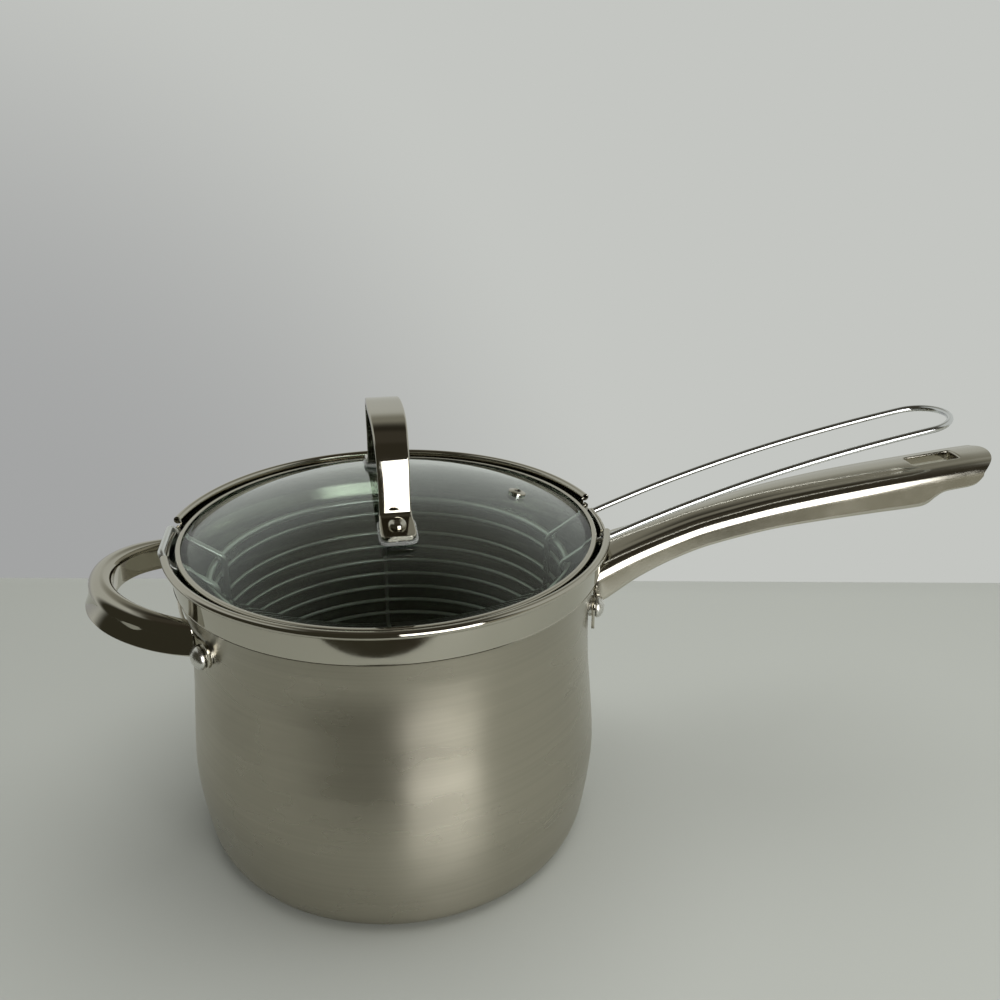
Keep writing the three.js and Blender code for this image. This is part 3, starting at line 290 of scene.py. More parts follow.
def table_at(table, share):
    """Return a smooth value between the rows of a table of (share, value)."""
    last = len(table) - 1
    i = 1
    while i < last and table[i][0] < share:
        i += 1

    def slope(k):
        (x0, y0), (x1, y1) = table[max(k - 1, 0)], table[min(k + 1, last)]
        return (y1 - y0) / (x1 - x0)

    (x0, y0), (x1, y1) = table[i - 1], table[i]
    run = x1 - x0
    u = min(max((share - x0) / run, 0), 1)
    start = y0 * (2 * u**3 - 3 * u**2 + 1) + slope(i - 1) * run * (u**3 - 2 * u**2 + u)
    return start + y1 * (3 * u**2 - 2 * u**3) + slope(i) * run * (u**3 - u**2)


def reach_at(radius, y):
    """Return how far along X a circle about the axis reaches at y."""
    return math.sqrt(radius**2 - y**2)


def four_corners(left, right, low, high):
    """Return the outline of a rectangle."""
    return [(left, low), (right, low), (right, high), (left, high)]


def rounded(corners, radius, steps=4):
    """Return a closed outline with its corners rounded, apart from those on the axis."""
    corners = [Vector(c) for c in corners]
    out = []
    count = len(corners)
    for i, corner in enumerate(corners):
        back = corners[i - 1] - corner
        ahead = corners[(i + 1) % count] - corner
        if abs(corner.x) < ON_AXIS:
            out.append(corner)
            continue
        half = back.angle(ahead) / 2
        if math.pi / 2 - half < NEAR_STRAIGHT:
            out.append(corner)
            continue
        room = SIDE_SHARE * min(back.length, ahead.length)
        reach = min(radius / math.tan(half), room)
        start = corner + back.normalized() * reach
        end = corner + ahead.normalized() * reach
        for k in range(steps + 1):
            t = k / steps
            out.append(start * (1 - t) ** 2 + corner * 2 * t * (1 - t) + end * t * t)
    return out


def bent(corners, bends, steps):
    """Return a path through the corners, each inner corner rounded to its bend radius."""
    out = [corners[0].copy()]
    for i in range(1, len(corners) - 1):
        corner = corners[i]
        back = (corners[i - 1] - corner).normalized()
        ahead = (corners[i + 1] - corner).normalized()
        half = back.angle(ahead) / 2
        bend = bends[i - 1]
        centre = corner + (back + ahead).normalized() * bend / math.sin(half)
        start = corner + back * bend / math.tan(half) - centre
        end = corner + ahead * bend / math.tan(half) - centre
        axis = start.cross(end).normalized()
        sweep = start.angle(end)
        for k in range(steps + 1):
            out.append(Matrix.Rotation(sweep * k / steps, 3, axis) @ start + centre)
    out.append(corners[-1].copy())
    return out


def arc(centre, radius, start, end, steps):
    """Return points of a flat arc between two angles in degrees, both ends included."""
    angles = [math.radians(mix(start, end, k / steps)) for k in range(steps + 1)]
    return [centre + radius * Vector((math.cos(a), math.sin(a))) for a in angles]


# Meshes
def mesh_from(name, points, faces, slots=None, closed=True):
    """Return a mesh in metres from millimetres, its doubles merged and its faces turned outwards."""
    mesh = bpy.data.meshes.new(name)
    mesh.from_pydata([Vector(p) * MM for p in points], [], faces)
    if slots:
        mesh.polygons.foreach_set("material_index", slots)
    work = bmesh.new()
    work.from_mesh(mesh)
    loose = [v for v in work.verts if not v.link_faces]
    bmesh.ops.delete(work, geom=loose, context="VERTS")
    bmesh.ops.remove_doubles(work, verts=work.verts, dist=ONE_POINT * MM)
    if closed:
        bmesh.ops.recalc_face_normals(work, faces=work.faces)
    work.to_mesh(mesh)
    work.free()
    return mesh


def turned(name, outline, steps, place=None):
    """Return a mesh of a closed outline of (radius, height) turned about Z, then placed."""
    count = len(outline)
    points = []
    faces = []
    for i in range(steps):
        a = 2 * math.pi * i / steps
        j = (i + 1) % steps
        for k, (r, z) in enumerate(outline):
            points.append(Vector((r * math.cos(a), r * math.sin(a), z)))
            m = (k + 1) % count
            faces.append((i * count + k, j * count + k, j * count + m, i * count + m))
    if place:
        points = [place @ p for p in points]
    return mesh_from(name, points, faces)


def skinned(name, rows, closed_rows=False, capped=False):
    """Return a mesh over rows of points, as an open sheet or as a closed body with capped ends."""
    count = len(rows[0])
    points = [p for row in rows for p in row]
    faces = []
    for i in range(len(rows) - 1):
        for j in range(count if closed_rows else count - 1):
            k = (j + 1) % count
            faces.append((i * count + j, i * count + k, (i + 1) * count + k, (i + 1) * count + j))
    if capped:
        faces.append(tuple(range(count)))
        faces.append(tuple((len(rows) - 1) * count + j for j in range(count)))
    return mesh_from(name, points, faces, closed=capped)


def as_plain_mesh(carrier):
    """Return what a carrier object's modifiers make as a plain mesh, and remove the carrier."""
    depsgraph = bpy.context.evaluated_depsgraph_get()
    made = carrier.evaluated_get(depsgraph)
    mesh = bpy.data.meshes.new_from_object(made, preserve_all_data_layers=True, depsgraph=depsgraph)
    carrier.modifiers.clear()
    bpy.data.objects.remove(carrier)
    return mesh


def on_carrier(name, mesh):
    """Return a new object in the scene that carries a mesh."""
    carrier = bpy.data.objects.new(name, mesh)
    bpy.context.scene.collection.objects.link(carrier)
    return carrier


def worked(name, mesh, *steps):
    """Return a mesh after modifiers, each given as its kind and its settings."""
    carrier = on_carrier(name, mesh)
    for kind, settings in steps:
        modifier = carrier.modifiers.new(kind.title(), kind)
        for setting, value in settings.items():
            setattr(modifier, setting, value)
    return as_plain_mesh(carrier)


def pressed(name, mesh, sheet):
    """Return an open sheet given its thickness away from its outside, with softened edges."""
    return worked(
        name,
        mesh,
        ("SOLIDIFY", {"thickness": sheet * MM, "offset": -1.0, "use_even_offset": True}),
        ("BEVEL", {"width": PRESSED_EDGE * MM, "segments": 2, "angle_limit": BEVEL_ANGLE}),
    )


def joined(name, meshes):
    """Return one mesh made of several."""
    work = bmesh.new()
    for mesh in meshes:
        work.from_mesh(mesh)
    out = bpy.data.meshes.new(name)
    work.to_mesh(out)
    work.free()
    return out


def piece(name, mesh, body, nodes, slot, *materials):
    """Put a finished mesh in the scene for some frame nodes, riding on a body."""
    mesh.name = name
    for material in materials:
        mesh.materials.append(material)
    mesh.shade_smooth()
    mesh.set_sharp_from_angle(angle=SMOOTH_ANGLE)
    obj = on_carrier(name, mesh)
    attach(obj, body)
    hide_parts(*nodes)


# Node trees
def feed(tree, node, inputs):
    """Set or link some of a node's inputs."""
    for key, value in inputs.items():
        if isinstance(value, bpy.types.NodeSocket):
            tree.links.new(value, node.inputs[key])
        else:
            node.inputs[key].default_value = value


def add_node(tree, kind, inputs=None, **settings):
    """Add a node, apply its settings, and set or link its inputs."""
    node = tree.nodes.new(kind)
    for name, value in settings.items():
        setattr(node, name, value)
    feed(tree, node, inputs or {})
    return node


def growing_tree(name, *inputs):
    """Return a new geometry tree and its inputs: a geometry, named values and a material."""
    tree = bpy.data.node_groups.new(name, "GeometryNodeTree")
    tree.interface.new_socket("Geometry", in_out="INPUT", socket_type="NodeSocketGeometry")
    for label, kind in (*inputs, ("Material", "NodeSocketMaterial")):
        tree.interface.new_socket(label, in_out="INPUT", socket_type=kind)
    tree.interface.new_socket("Geometry", in_out="OUTPUT", socket_type="NodeSocketGeometry")
    start = add_node(tree, "NodeGroupInput")
    return tree, start.outputs


def end_tree(tree, geometry, material):
    """End a geometry tree in real geometry with a material."""
    real = add_node(tree, "GeometryNodeRealizeInstances", {"Geometry": geometry})
    done = add_node(
        tree,
        "GeometryNodeSetMaterial",
        {"Geometry": real.outputs["Geometry"], "Material": material},
    )
    add_node(tree, "NodeGroupOutput", {"Geometry": done.outputs["Geometry"]})
    return tree


def wire_tree(name):
    """Build the tree that sweeps a round wire along each edge path."""
    tree, given = growing_tree(
        name, ("Wire radius", "NodeSocketFloat"), ("Sides", "NodeSocketInt")
    )
    path = add_node(tree, "GeometryNodeMeshToCurve", {"Mesh": given["Geometry"]})
    section = add_node(
        tree,
        "GeometryNodeCurvePrimitiveCircle",
        {"Resolution": given["Sides"], "Radius": given["Wire radius"]},
    )
    swept = add_node(
        tree,
        "GeometryNodeCurveToMesh",
        {
            "Curve": path.outputs["Curve"],
            "Profile Curve": section.outputs["Curve"],
            "Fill Caps": True,
        },
    )
    return end_tree(tree, swept.outputs["Mesh"], given["Material"])


def hoop_tree(name):
    """Build the tree that stands a wire hoop on each point, as wide as the point says."""
    tree, given = growing_tree(
        name, ("Wire radius", "NodeSocketFloat"), ("Steps", "NodeSocketInt")
    )
    circle = add_node(
        tree, "GeometryNodeCurvePrimitiveCircle", {"Resolution": given["Steps"], "Radius": 1.0}
    )
    width = add_node(tree, "GeometryNodeInputNamedAttribute", {"Name": "hoop_radius"})
    stood = add_node(
        tree,
        "GeometryNodeInstanceOnPoints",
        {
            "Points": given["Geometry"],
            "Instance": circle.outputs["Curve"],
            "Scale": width.outputs["Attribute"],
        },
    )
    real = add_node(tree, "GeometryNodeRealizeInstances", {"Geometry": stood.outputs["Instances"]})
    even = add_node(
        tree, "GeometryNodeSetCurveRadius", {"Curve": real.outputs["Geometry"], "Radius": 1.0}
    )
    section = add_node(
        tree,
        "GeometryNodeCurvePrimitiveCircle",
        {"Resolution": HOOP_SIDES, "Radius": given["Wire radius"]},
    )
    swept = add_node(
        tree,
        "GeometryNodeCurveToMesh",
        {"Curve": even.outputs["Curve"], "Profile Curve": section.outputs["Curve"]},
    )
    return end_tree(tree, swept.outputs["Mesh"], given["Material"])


def bead_tree(name):
    """Build the tree that sets a small weld bead on each point."""
    tree, given = growing_tree(name, ("Bead radius", "NodeSocketFloat"))
    ball = add_node(
        tree,
        "GeometryNodeMeshIcoSphere",
        {"Radius": given["Bead radius"], "Subdivisions": 2},
    )
    stood = add_node(
        tree,
        "GeometryNodeInstanceOnPoints",
        {"Points": given["Geometry"], "Instance": ball.outputs["Mesh"]},
    )
    return end_tree(tree, stood.outputs["Instances"], given["Material"])


def pin_tree(name):
    """Build the tree that sets a copy of one pin on each point, along the point's axis."""
    tree, given = growing_tree(name, ("Pin", "NodeSocketObject"))
    pin = add_node(tree, "GeometryNodeObjectInfo", {"Object": given["Pin"]})
    axis = add_node(
        tree, "GeometryNodeInputNamedAttribute", {"Name": "axis"}, data_type="FLOAT_VECTOR"
    )
    turn = add_node(
        tree, "FunctionNodeAlignRotationToVector", {"Vector": axis.outputs["Attribute"]}, axis="Z"
    )
    stood = add_node(
        tree,
        "GeometryNodeInstanceOnPoints",
        {
            "Points": given["Geometry"],
            "Instance": pin.outputs["Geometry"],
            "Rotation": turn.outputs["Rotation"],
        },
    )
    return end_tree(tree, stood.outputs["Instances"], given["Material"])


def tree_named(name, build):
    """Return a geometry tree by name, building it the first time."""
    return bpy.data.node_groups.get(name) or build(name)


def grown(name, tree, source, **inputs):
    """Run a geometry tree over a source mesh and return the result as a plain mesh."""
    carrier = on_carrier(name, source)
    modifier = carrier.modifiers.new(name, "NODES")
    modifier.node_group = tree
    for item in tree.interface.items_tree:
        key = item.name.lower().replace(" ", "_")
        if item.in_out == "INPUT" and key in inputs:
            modifier[item.identifier] = inputs[key]
    return as_plain_mesh(carrier)


def points_mesh(name, places, **attributes):
    """Return a mesh of loose points in metres that carries named values."""
    mesh = bpy.data.meshes.new(name)
    mesh.from_pydata([Vector(p) * MM for p in places], [], [])
    for label, values in attributes.items():
        if isinstance(values[0], Vector):
            layer = mesh.attributes.new(label, "FLOAT_VECTOR", "POINT")
            layer.data.foreach_set("vector", [c for v in values for c in v])
        else:
            layer = mesh.attributes.new(label, "FLOAT", "POINT")
            layer.data.foreach_set("value", values)
    return mesh


def path_mesh(name, path):
    """Return a mesh of edges along a path, in metres."""
    mesh = bpy.data.meshes.new(name)
    edges = [(i, i + 1) for i in range(len(path) - 1)]
    mesh.from_pydata([p * MM for p in path], edges, [])
    return mesh


def pins(name, pin_mesh, places, axes, material):
    """Return copies of one pin mesh on several places along their axes, as one plain mesh."""
    pattern = on_carrier(name + "_pattern", pin_mesh)
    mesh = grown(
        name,
        tree_named("Pins", pin_tree),
        points_mesh(name, places, axis=axes),
        pin=pattern,
        material=material,
    )
    bpy.data.objects.remove(pattern)
    return mesh


# Materials
def new_material(name):
    """Return a new material, its tree and its shader."""
    material = bpy.data.materials.new(name)
    material.use_nodes = True
    tree = material.node_tree
    tree.nodes.clear()
    shader = add_node(tree, "ShaderNodeBsdfPrincipled")
    add_node(tree, "ShaderNodeOutputMaterial", {"Surface": shader.outputs["BSDF"]})
    return material, tree, shader


def per_mm(length):
    """Return the texture scale at which one unit of a pattern is that many millimetres."""
    return 1 / (length * MM)


def uneven(name, tint, grain, least, most, detail=3.0, spread=(0.3, 0.7), metallic=1.0):
    """Return a material whose roughness drifts with a noise, then its tree, shader and noise.

    The grain is the size of the noise in millimetres along X, Y and Z. As the noise crosses the
    spread, the roughness goes from its least to its most.
    """
    material, tree, shader = new_material(name)
    place = add_node(tree, "ShaderNodeTexCoord").outputs["Object"]
    scale = [per_mm(length) for length in grain]
    sized = add_node(tree, "ShaderNodeMapping", {"Vector": place, "Scale": scale})
    noise = add_node(
        tree,
        "ShaderNodeTexNoise",
        {"Vector": sized.outputs["Vector"], "Scale": 1.0, "Detail": detail},
    )
    limits = {"From Min": spread[0], "From Max": spread[1], "To Min": least, "To Max": most}
    rough = add_node(tree, "ShaderNodeMapRange", {"Value": noise.outputs["Fac"], **limits})
    plain = {"Base Color": (*tint, 1), "Metallic": metallic}
    feed(tree, shader, {"Roughness": rough.outputs["Result"], **plain})
    return material, tree, shader, noise


def brushed_stainless(name, tint):
    """Stainless steel sheet, satin finished by a belt that ran round the pot.

    The fine lines run level, so a light stretches into an upright band, and the drawn sheet is
    never quite even, so that band wavers. The lines are about 0.2 mm on the real sheet and are
    drawn coarser so that they show.
    """
    material, tree, shader, _ = uneven(name, tint, (60, 60, 25), 0.24, 0.34)
    place = add_node(tree, "ShaderNodeTexCoord").outputs["Object"]
    level = add_node(
        tree,
        "ShaderNodeMapping",
        {"Vector": place, "Scale": (per_mm(90), per_mm(90), per_mm(1.7))},
    )
    lines = add_node(
        tree,
        "ShaderNodeTexNoise",
        {"Vector": level.outputs["Vector"], "Scale": 1.0, "Detail": 1.0},
    )
    limits = {"From Min": 0.3, "From Max": 0.7, "To Min": 0.94, "To Max": 1.0}
    tone = add_node(tree, "ShaderNodeMapRange", {"Value": lines.outputs["Fac"], **limits})
    shade = add_node(
        tree,
        "ShaderNodeMix",
        {"Factor": tone.outputs["Result"], "A": (0, 0, 0, 1), "B": (*tint, 1)},
        data_type="RGBA",
    )
    swell = add_node(
        tree, "ShaderNodeTexNoise", {"Vector": place, "Scale": per_mm(42), "Detail": 0.0}
    )
    dents = add_node(
        tree,
        "ShaderNodeBump",
        {"Strength": 0.6, "Distance": 0.5 * MM, "Height": swell.outputs["Fac"]},
    )
    feed(tree, shader, {"Base Color": shade.outputs["Result"], "Normal": dents.outputs["Normal"]})
    feed(tree, shader, {"Anisotropic": 0.75, "Anisotropic Rotation": 0.25})
    return material


def hazed_stainless(name, tint, least, most):
    """Return bare steel with cloudy patches that are a little duller and paler than the rest."""
    grain = (14, 14, 14)
    material, tree, shader, haze = uneven(name, tint, grain, least, most, 4.0, (0.35, 0.75))
    haze.inputs["Roughness"].default_value = 0.6
    darker = [0.94 * c for c in tint]
    tone = add_node(
        tree,
        "ShaderNodeMix",
        {"Factor": haze.outputs["Fac"], "A": (*darker, 1), "B": (*tint, 1)},
        data_type="RGBA",
    )
    feed(tree, shader, {"Base Color": tone.outputs["Result"]})
    return material


def polished_stainless(name, tint):
    """Stainless steel polished to a mirror, with the faint haze that wiping leaves."""
    return hazed_stainless(name, tint, 0.035, 0.11)


def buffed_stainless(name, tint):
    """Stainless steel buffed less finely than a mirror: lights keep their shape but get soft edges."""
    return hazed_stainless(name, tint, 0.1, 0.16)


def tumbled_steel(name, tint):
    """Stainless steel tumbled with fine media: a pearly sheen without sharp mirror images."""
    material, tree, shader, marks = uneven(name, tint, (0.9, 0.9, 0.9), 0.2, 0.32)
    pits = add_node(
        tree,
        "ShaderNodeBump",
        {"Strength": 0.12, "Distance": 0.05 * MM, "Height": marks.outputs["Fac"]},
    )
    feed(tree, shader, {"Normal": pits.outputs["Normal"]})
    return material


def satin_inside(name, tint):
    """Stainless steel as drawn and lightly rubbed inside the pot: level lines, softer than outside.

    The lines are drawn coarser than on the real sheet so that they show.
    """
    # The tint this finish gets is darker than the outside steel's: painted shade of the pot's inside.
    return uneven(name, tint, (70, 70, 1.6), 0.17, 0.24)[0]


def plated_wire(name, tint):
    """Steel wire with bright plating: near mirror, with a dark and a light line along it."""
    return uneven(name, tint, (5, 5, 5), 0.08, 0.18)[0]


def satin_wire(name, tint):
    """Steel wire with plating that was only tumbled: an even pale grey, also inside the dark pot."""
    return uneven(name, tint, (5, 5, 5), 0.34, 0.42)[0]


def turned_base(name, tint):
    """Steel disc faced on a lathe: fine rings round the middle that break a light into fans.

    The rings are drawn coarser than a lathe cuts them so that they show.
    """
    material, tree, shader = new_material(name)
    place = add_node(tree, "ShaderNodeTexCoord").outputs["Object"]
    flat = add_node(tree, "ShaderNodeVectorMath", {0: place, 1: (1, 1, 0)}, operation="MULTIPLY")
    rings = add_node(
        tree,
        "ShaderNodeTexWave",
        {"Vector": flat.outputs["Vector"], "Scale": per_mm(9), "Distortion": 0.6, "Detail": 2.0},
        wave_type="RINGS",
        rings_direction="SPHERICAL",
    )
    groove = add_node(
        tree,
        "ShaderNodeBump",
        {"Strength": 0.15, "Distance": 0.1 * MM, "Height": rings.outputs["Fac"]},
    )
    rough = add_node(
        tree,
        "ShaderNodeMapRange",
        {"Value": rings.outputs["Fac"], "To Min": 0.3, "To Max": 0.42},
    )
    feed(tree, shader, {"Roughness": rough.outputs["Result"], "Normal": groove.outputs["Normal"]})
    feed(tree, shader, {"Base Color": (*tint, 1), "Metallic": 1.0, "Anisotropic": 0.5})
    return material


def rolled_aluminium(name, tint):
    """Aluminium disc as rolled: dull, with a fine even grain."""
    return uneven(name, tint, (0.8, 0.8, 0.8), 0.42, 0.58, 2.0, (0.0, 1.0))[0]


def tempered_glass(name, tint):
    """Pressed and tempered soda-lime glass: clear, faintly grey-green, with a slight press wave."""
    material, tree, shader = new_material(name)
    place = add_node(tree, "ShaderNodeTexCoord").outputs["Object"]
    wave = add_node(
        tree, "ShaderNodeTexNoise", {"Vector": place, "Scale": per_mm(40), "Detail": 1.0}
    )
    press = add_node(
        tree,
        "ShaderNodeBump",
        {"Strength": 0.05, "Distance": 0.3 * MM, "Height": wave.outputs["Fac"]},
    )
    feed(tree, shader, {"Base Color": (*tint, 1), "Normal": press.outputs["Normal"]})
    feed(tree, shader, {"Roughness": 0.01, "IOR": 1.52, "Transmission Weight": 1.0})
    return material


def clear_silicone(name, tint):
    """Moulded clear silicone rubber: milky where it is thick, with a soft shine."""
    bloom = (3, 3, 3)
    material, tree, shader, _ = uneven(name, tint, bloom, 0.18, 0.34, 2.0, (0.0, 1.0), metallic=0.0)
    feed(tree, shader, {"IOR": 1.41, "Transmission Weight": 0.7})
    return material


FINISHES = {
    "body": ("Satin brushed stainless steel", brushed_stainless),
    "polished": ("Mirror polished stainless steel", polished_stainless),
    "grip": ("Buffed stainless steel", buffed_stainless),
    "rivet": ("Tumbled stainless steel", tumbled_steel),
    "inside": ("Rubbed stainless steel inside", satin_inside),
    "wire": ("Bright plated steel wire", plated_wire),
    "cage": ("Satin plated steel wire", satin_wire),
    "base": ("Lathe turned stainless steel", turned_base),
    "core": ("Rolled aluminium", rolled_aluminium),
    "glass": ("Tempered soda-lime glass", tempered_glass),
    "pad": ("Clear silicone rubber", clear_silicone),
}


def finish(context, part):
    """Return the finish of a kind of part, made the first time in the scene's colour for it."""
    name, make = FINISHES[part]
    tint = getattr(context.scene.stockpot_colours, part)
    return bpy.data.materials.get(name) or make(name, tint)


# Pot
# The rim band meets the roll this share of the roll's radius below the roll's middle, and flares out
# to it by this power of its height.
BAND_TO_ROLL = 0.8
BAND_FLARE = 0.9
# The rolled edge from the band round to its end, in degrees.
ROLL_FROM, ROLL_TO = 180, -114
ROLL_STEPS = 26
# Lengths in millimetres: the rim band's sheet inside the rim, where the wires cross it, and the round
# corner between the inside wall and the floor.
SHEET_IN = 5.2
CORNER_RISE = 7
# Angles in radians: even steps round the pot keep this clear of a cut in the rim, and a flattened lip
# stops this short of one.
CUT_CLEAR = 0.012
LIP_GAP = 0.004
# Steps round the pot and along a lip
ROUND_STEPS = 240
LIP_STEPS = 16


def pot_places(p):
    """Return the radii and heights of the pot that follow from its rim."""
    band = p.rim - p.roll - p.roll_out
    return SimpleNamespace(
        band=band,
        base=band - p.base_in,
        foot=band - p.foot_in,
        belly=band - p.belly_in,
        neck=band - p.neck_in,
        neck_z=p.height - p.neck_drop,
        band_z=p.height - p.band_height,
        roll_at=Vector((p.rim - p.roll, p.height - p.roll)),
        edge_z=p.height - p.notch_drop,
    )


def body_curve(p, per_span):
    """Return the outside of the pot from its bottom corner to the rim band's lower edge.

    The shares of the way between the named rings give it the round belly and the hollow neck.
    """
    at = pot_places(p)
    knots = [
        (at.base, p.base_lift),
        (mix(at.base, at.foot, 0.64), 1.5),
        (at.foot, 3.6),
        (mix(at.foot, at.belly, 0.41), p.belly_z * 0.21),
        (mix(at.foot, at.belly, 0.66), p.belly_z * 0.42),
        (mix(at.foot, at.belly, 0.91), p.belly_z * 0.71),
        (at.belly, p.belly_z),
        (mix(at.belly, at.neck, 0.38), mix(p.belly_z, at.neck_z, 0.33)),
        (mix(at.belly, at.neck, 0.82), mix(p.belly_z, at.neck_z, 0.66)),
        (at.neck, at.neck_z),
        (mix(at.neck, at.band, 0.16), mix(at.neck_z, at.band_z, 0.45)),
        (mix(at.neck, at.band, 0.56), mix(at.neck_z, at.band_z, 0.75)),
        (at.band, at.band_z),
    ]
    return smooth_through([Vector(k) for k in knots], per_span)


def band_radius(p, z):
    """Return the outside radius of the rim band at a height."""
    at = pot_places(p)
    top = at.roll_at - Vector((p.roll - p.roll_sheet, p.roll * BAND_TO_ROLL))
    share = min(max((z - at.band_z) / (top.y - at.band_z), 0), 1)
    return mix(at.band, top.x, share**BAND_FLARE)


def outside_at(p, z):
    """Return the pot's outside radius at a height."""
    curve = body_curve(p, 6)
    for a, b in zip(curve, curve[1:]):
        if b.y >= z:
            return mix(a.x, b.x, min(max((z - a.y) / (b.y - a.y), 0), 1))
    return band_radius(p, z)


def wire_slot_floor(context):
    """Return the height where the slots for the basket's wires end, just under the wires."""
    under_lid = basket_places(context).under_lid
    wire = in_mm(context, "basket").frame_wire
    wall_x = in_mm(context, "pot").rim - SHEET_IN
    z = under_lid.y + (wall_x - under_lid.x) * NOTCH_SLOPE
    return z - wire * math.hypot(1, NOTCH_SLOPE) - SEAT_GAP


def pot_sheet(p, slot_floor):
    """Return the pot's sheet as matching outer and inner lines.

    The lines run from the floor's middle to the roll's end. They come with the index of the band's
    lower edge, of a wire slot's floor, of the notch's edge and of the start of the roll.
    """
    at = pot_places(p)
    wall = body_curve(p, 7)
    lip = p.band_lip
    wall[-1] = Vector((at.band, at.band_z - lip))
    band_at = len(wall)
    wall += [Vector((at.band + lip, at.band_z)), Vector((at.band + lip * 0.3, at.band_z + lip))]
    roll_in = at.roll_at.y - p.roll * BAND_TO_ROLL
    heights = [at.band_z + 1.0, slot_floor, at.edge_z, roll_in]
    filled = []
    for a, b in zip(heights, heights[1:]):
        filled += [mix(a, b, k / 5) for k in range(5)]
    slot_at = len(wall) + filled.index(slot_floor)
    edge_at = len(wall) + filled.index(at.edge_z)
    wall += [Vector((band_radius(p, z), z)) for z in filled + [roll_in]]
    inner = []
    for i, point in enumerate(wall):
        along = wall[min(i + 1, len(wall) - 1)] - wall[max(i - 1, 0)]
        inner.append(point + Vector((-along.y, along.x)).normalized() * p.wall)

    # The inside turns into the floor with a round corner.
    bottom = span("base_core")[1].z + SEAT_GAP
    floor = bottom + p.wall
    first = next(i for i, q in enumerate(inner) if q.y > floor + CORNER_RISE)
    meet = inner[first]
    flat_to = meet.x - CORNER_RISE
    for i in range(first):
        a = math.pi / 2 * i / first
        inner[i] = Vector(
            (mix(flat_to, meet.x, math.sin(a)), mix(meet.y, floor, math.cos(a)))
        )
    recess = span("base_cap")[1].y + SEAT_GAP
    under = [(0, bottom), (recess * 0.5, bottom), (recess, bottom), (recess, p.base_lift)]
    above = [(flat_to * share, floor) for share in (0, 0.35, 0.7, 0.92)]
    start = len(under)
    roll_at = start + len(wall)
    outer = [Vector(q) for q in under] + wall
    inner = [Vector(q) for q in above] + inner
    outer += arc(at.roll_at, p.roll - p.roll_sheet, ROLL_FROM, ROLL_TO, ROLL_STEPS)
    inner += arc(at.roll_at, p.roll, ROLL_FROM, ROLL_TO, ROLL_STEPS)
    marks = SimpleNamespace(
        band=start + band_at, slot=start + slot_at, edge=start + edge_at, roll=roll_at
    )
    return outer, inner, marks


def notch_angles(p, frame_half):
    """Return the half angles of a wire slot's two sides and of a notch, seen from the pot's axis."""
    edge_r = p.rim - p.roll - 1
    reaches = (frame_half - p.slot_half, frame_half + p.slot_half, p.notch_half)
    return [math.asin(reach / edge_r) for reach in reaches]


def flat_rim_mesh(p, frame_half):
    """Return the lips that are left in the notches, where the rolled edge is pressed flat."""
    at = pot_places(p)
    inside, outside, end = notch_angles(p, frame_half)
    stretches = ((-end, -outside), (-inside, inside), (outside, end))
    flat = rounded(four_corners(0.1, p.lip_sheet, 0, 1), 0.5)
    lips = []
    for turn in (0, math.pi):
        for start, stop in stretches:
            rows = []
            for k in range(LIP_STEPS + 1):
                a = turn + mix(start + LIP_GAP, stop - LIP_GAP, k / LIP_STEPS)
                section = []
                for out, drop in flat:
                    z = at.edge_z + 0.2 - drop * p.lip_height
                    r = band_radius(p, z) + out
                    section.append(Vector((r * math.cos(a), r * math.sin(a), z)))
                rows.append(section)
            lips.append(skinned("lip", rows, closed_rows=True, capped=True))
    mesh = joined("lips", lips)
    mesh.polygons.foreach_set("material_index", [1] * len(mesh.polygons))
    return mesh


def shell_mesh(p, frame_half, slot_floor):
    """Return the pot's shell with its notched rim: slots 0 brushed, 1 polished, 2 inside."""
    outer, inner, marks = pot_sheet(p, slot_floor)
    last = len(outer) - 1
    bounds = notch_angles(p, frame_half)
    full = 2 * math.pi

    def is_clear(angle, cut):
        return abs((angle - cut + math.pi) % full - math.pi) >= CUT_CLEAR

    cuts = [(turn + side * a) % full for turn in (0, math.pi) for a in bounds for side in (1, -1)]
    even = [full * i / ROUND_STEPS for i in range(ROUND_STEPS)]
    angles = sorted(cuts + [a for a in even if all(is_clear(a, cut) for cut in cuts)])

    def top_of(angle):
        away = abs((angle + math.pi / 2) % math.pi - math.pi / 2)
        if away < bounds[0] or bounds[1] < away < bounds[2]:
            return marks.edge
        return marks.slot if away < bounds[1] else last

    count = len(angles)
    points = []
    for a in angles:
        turn = Vector((math.cos(a), math.sin(a)))
        for line in (outer, inner):
            points += [Vector((turn.x * q.x, turn.y * q.x, q.y)) for q in line]
    faces = []
    slots = []
    width = 2 * (last + 1)
    tops = []
    for i in range(count):
        ahead = angles[(i + 1) % count] + (full if i == count - 1 else 0)
        tops.append(top_of((angles[i] + ahead) / 2))
    for i in range(count):
        a = i * width
        b = (i + 1) % count * width
        for k in range(tops[i]):
            faces.append((a + k, b + k, b + k + 1, a + k + 1))
            slots.append(0 if k < marks.band else 1)
            m = last + 1 + k
            faces.append((a + m, a + m + 1, b + m + 1, b + m))
            slots.append(2 if k < marks.roll - 2 else 1)
        k = tops[i]
        faces.append((a + k, b + k, b + last + 1 + k, a + last + 1 + k))
        slots.append(1)
        # Where one stretch of rim is cut lower than the next, the sheet's cut edge closes the step.
        low, high = sorted((tops[i - 1], tops[i]))
        for k in range(low, high):
            m = last + 1 + k
            faces.append((a + k, a + k + 1, a + m + 1, a + m))
            slots.append(1)
    shell = mesh_from("pot_body", points, faces, slots)
    return joined("pot_body", [shell, flat_rim_mesh(p, frame_half)])


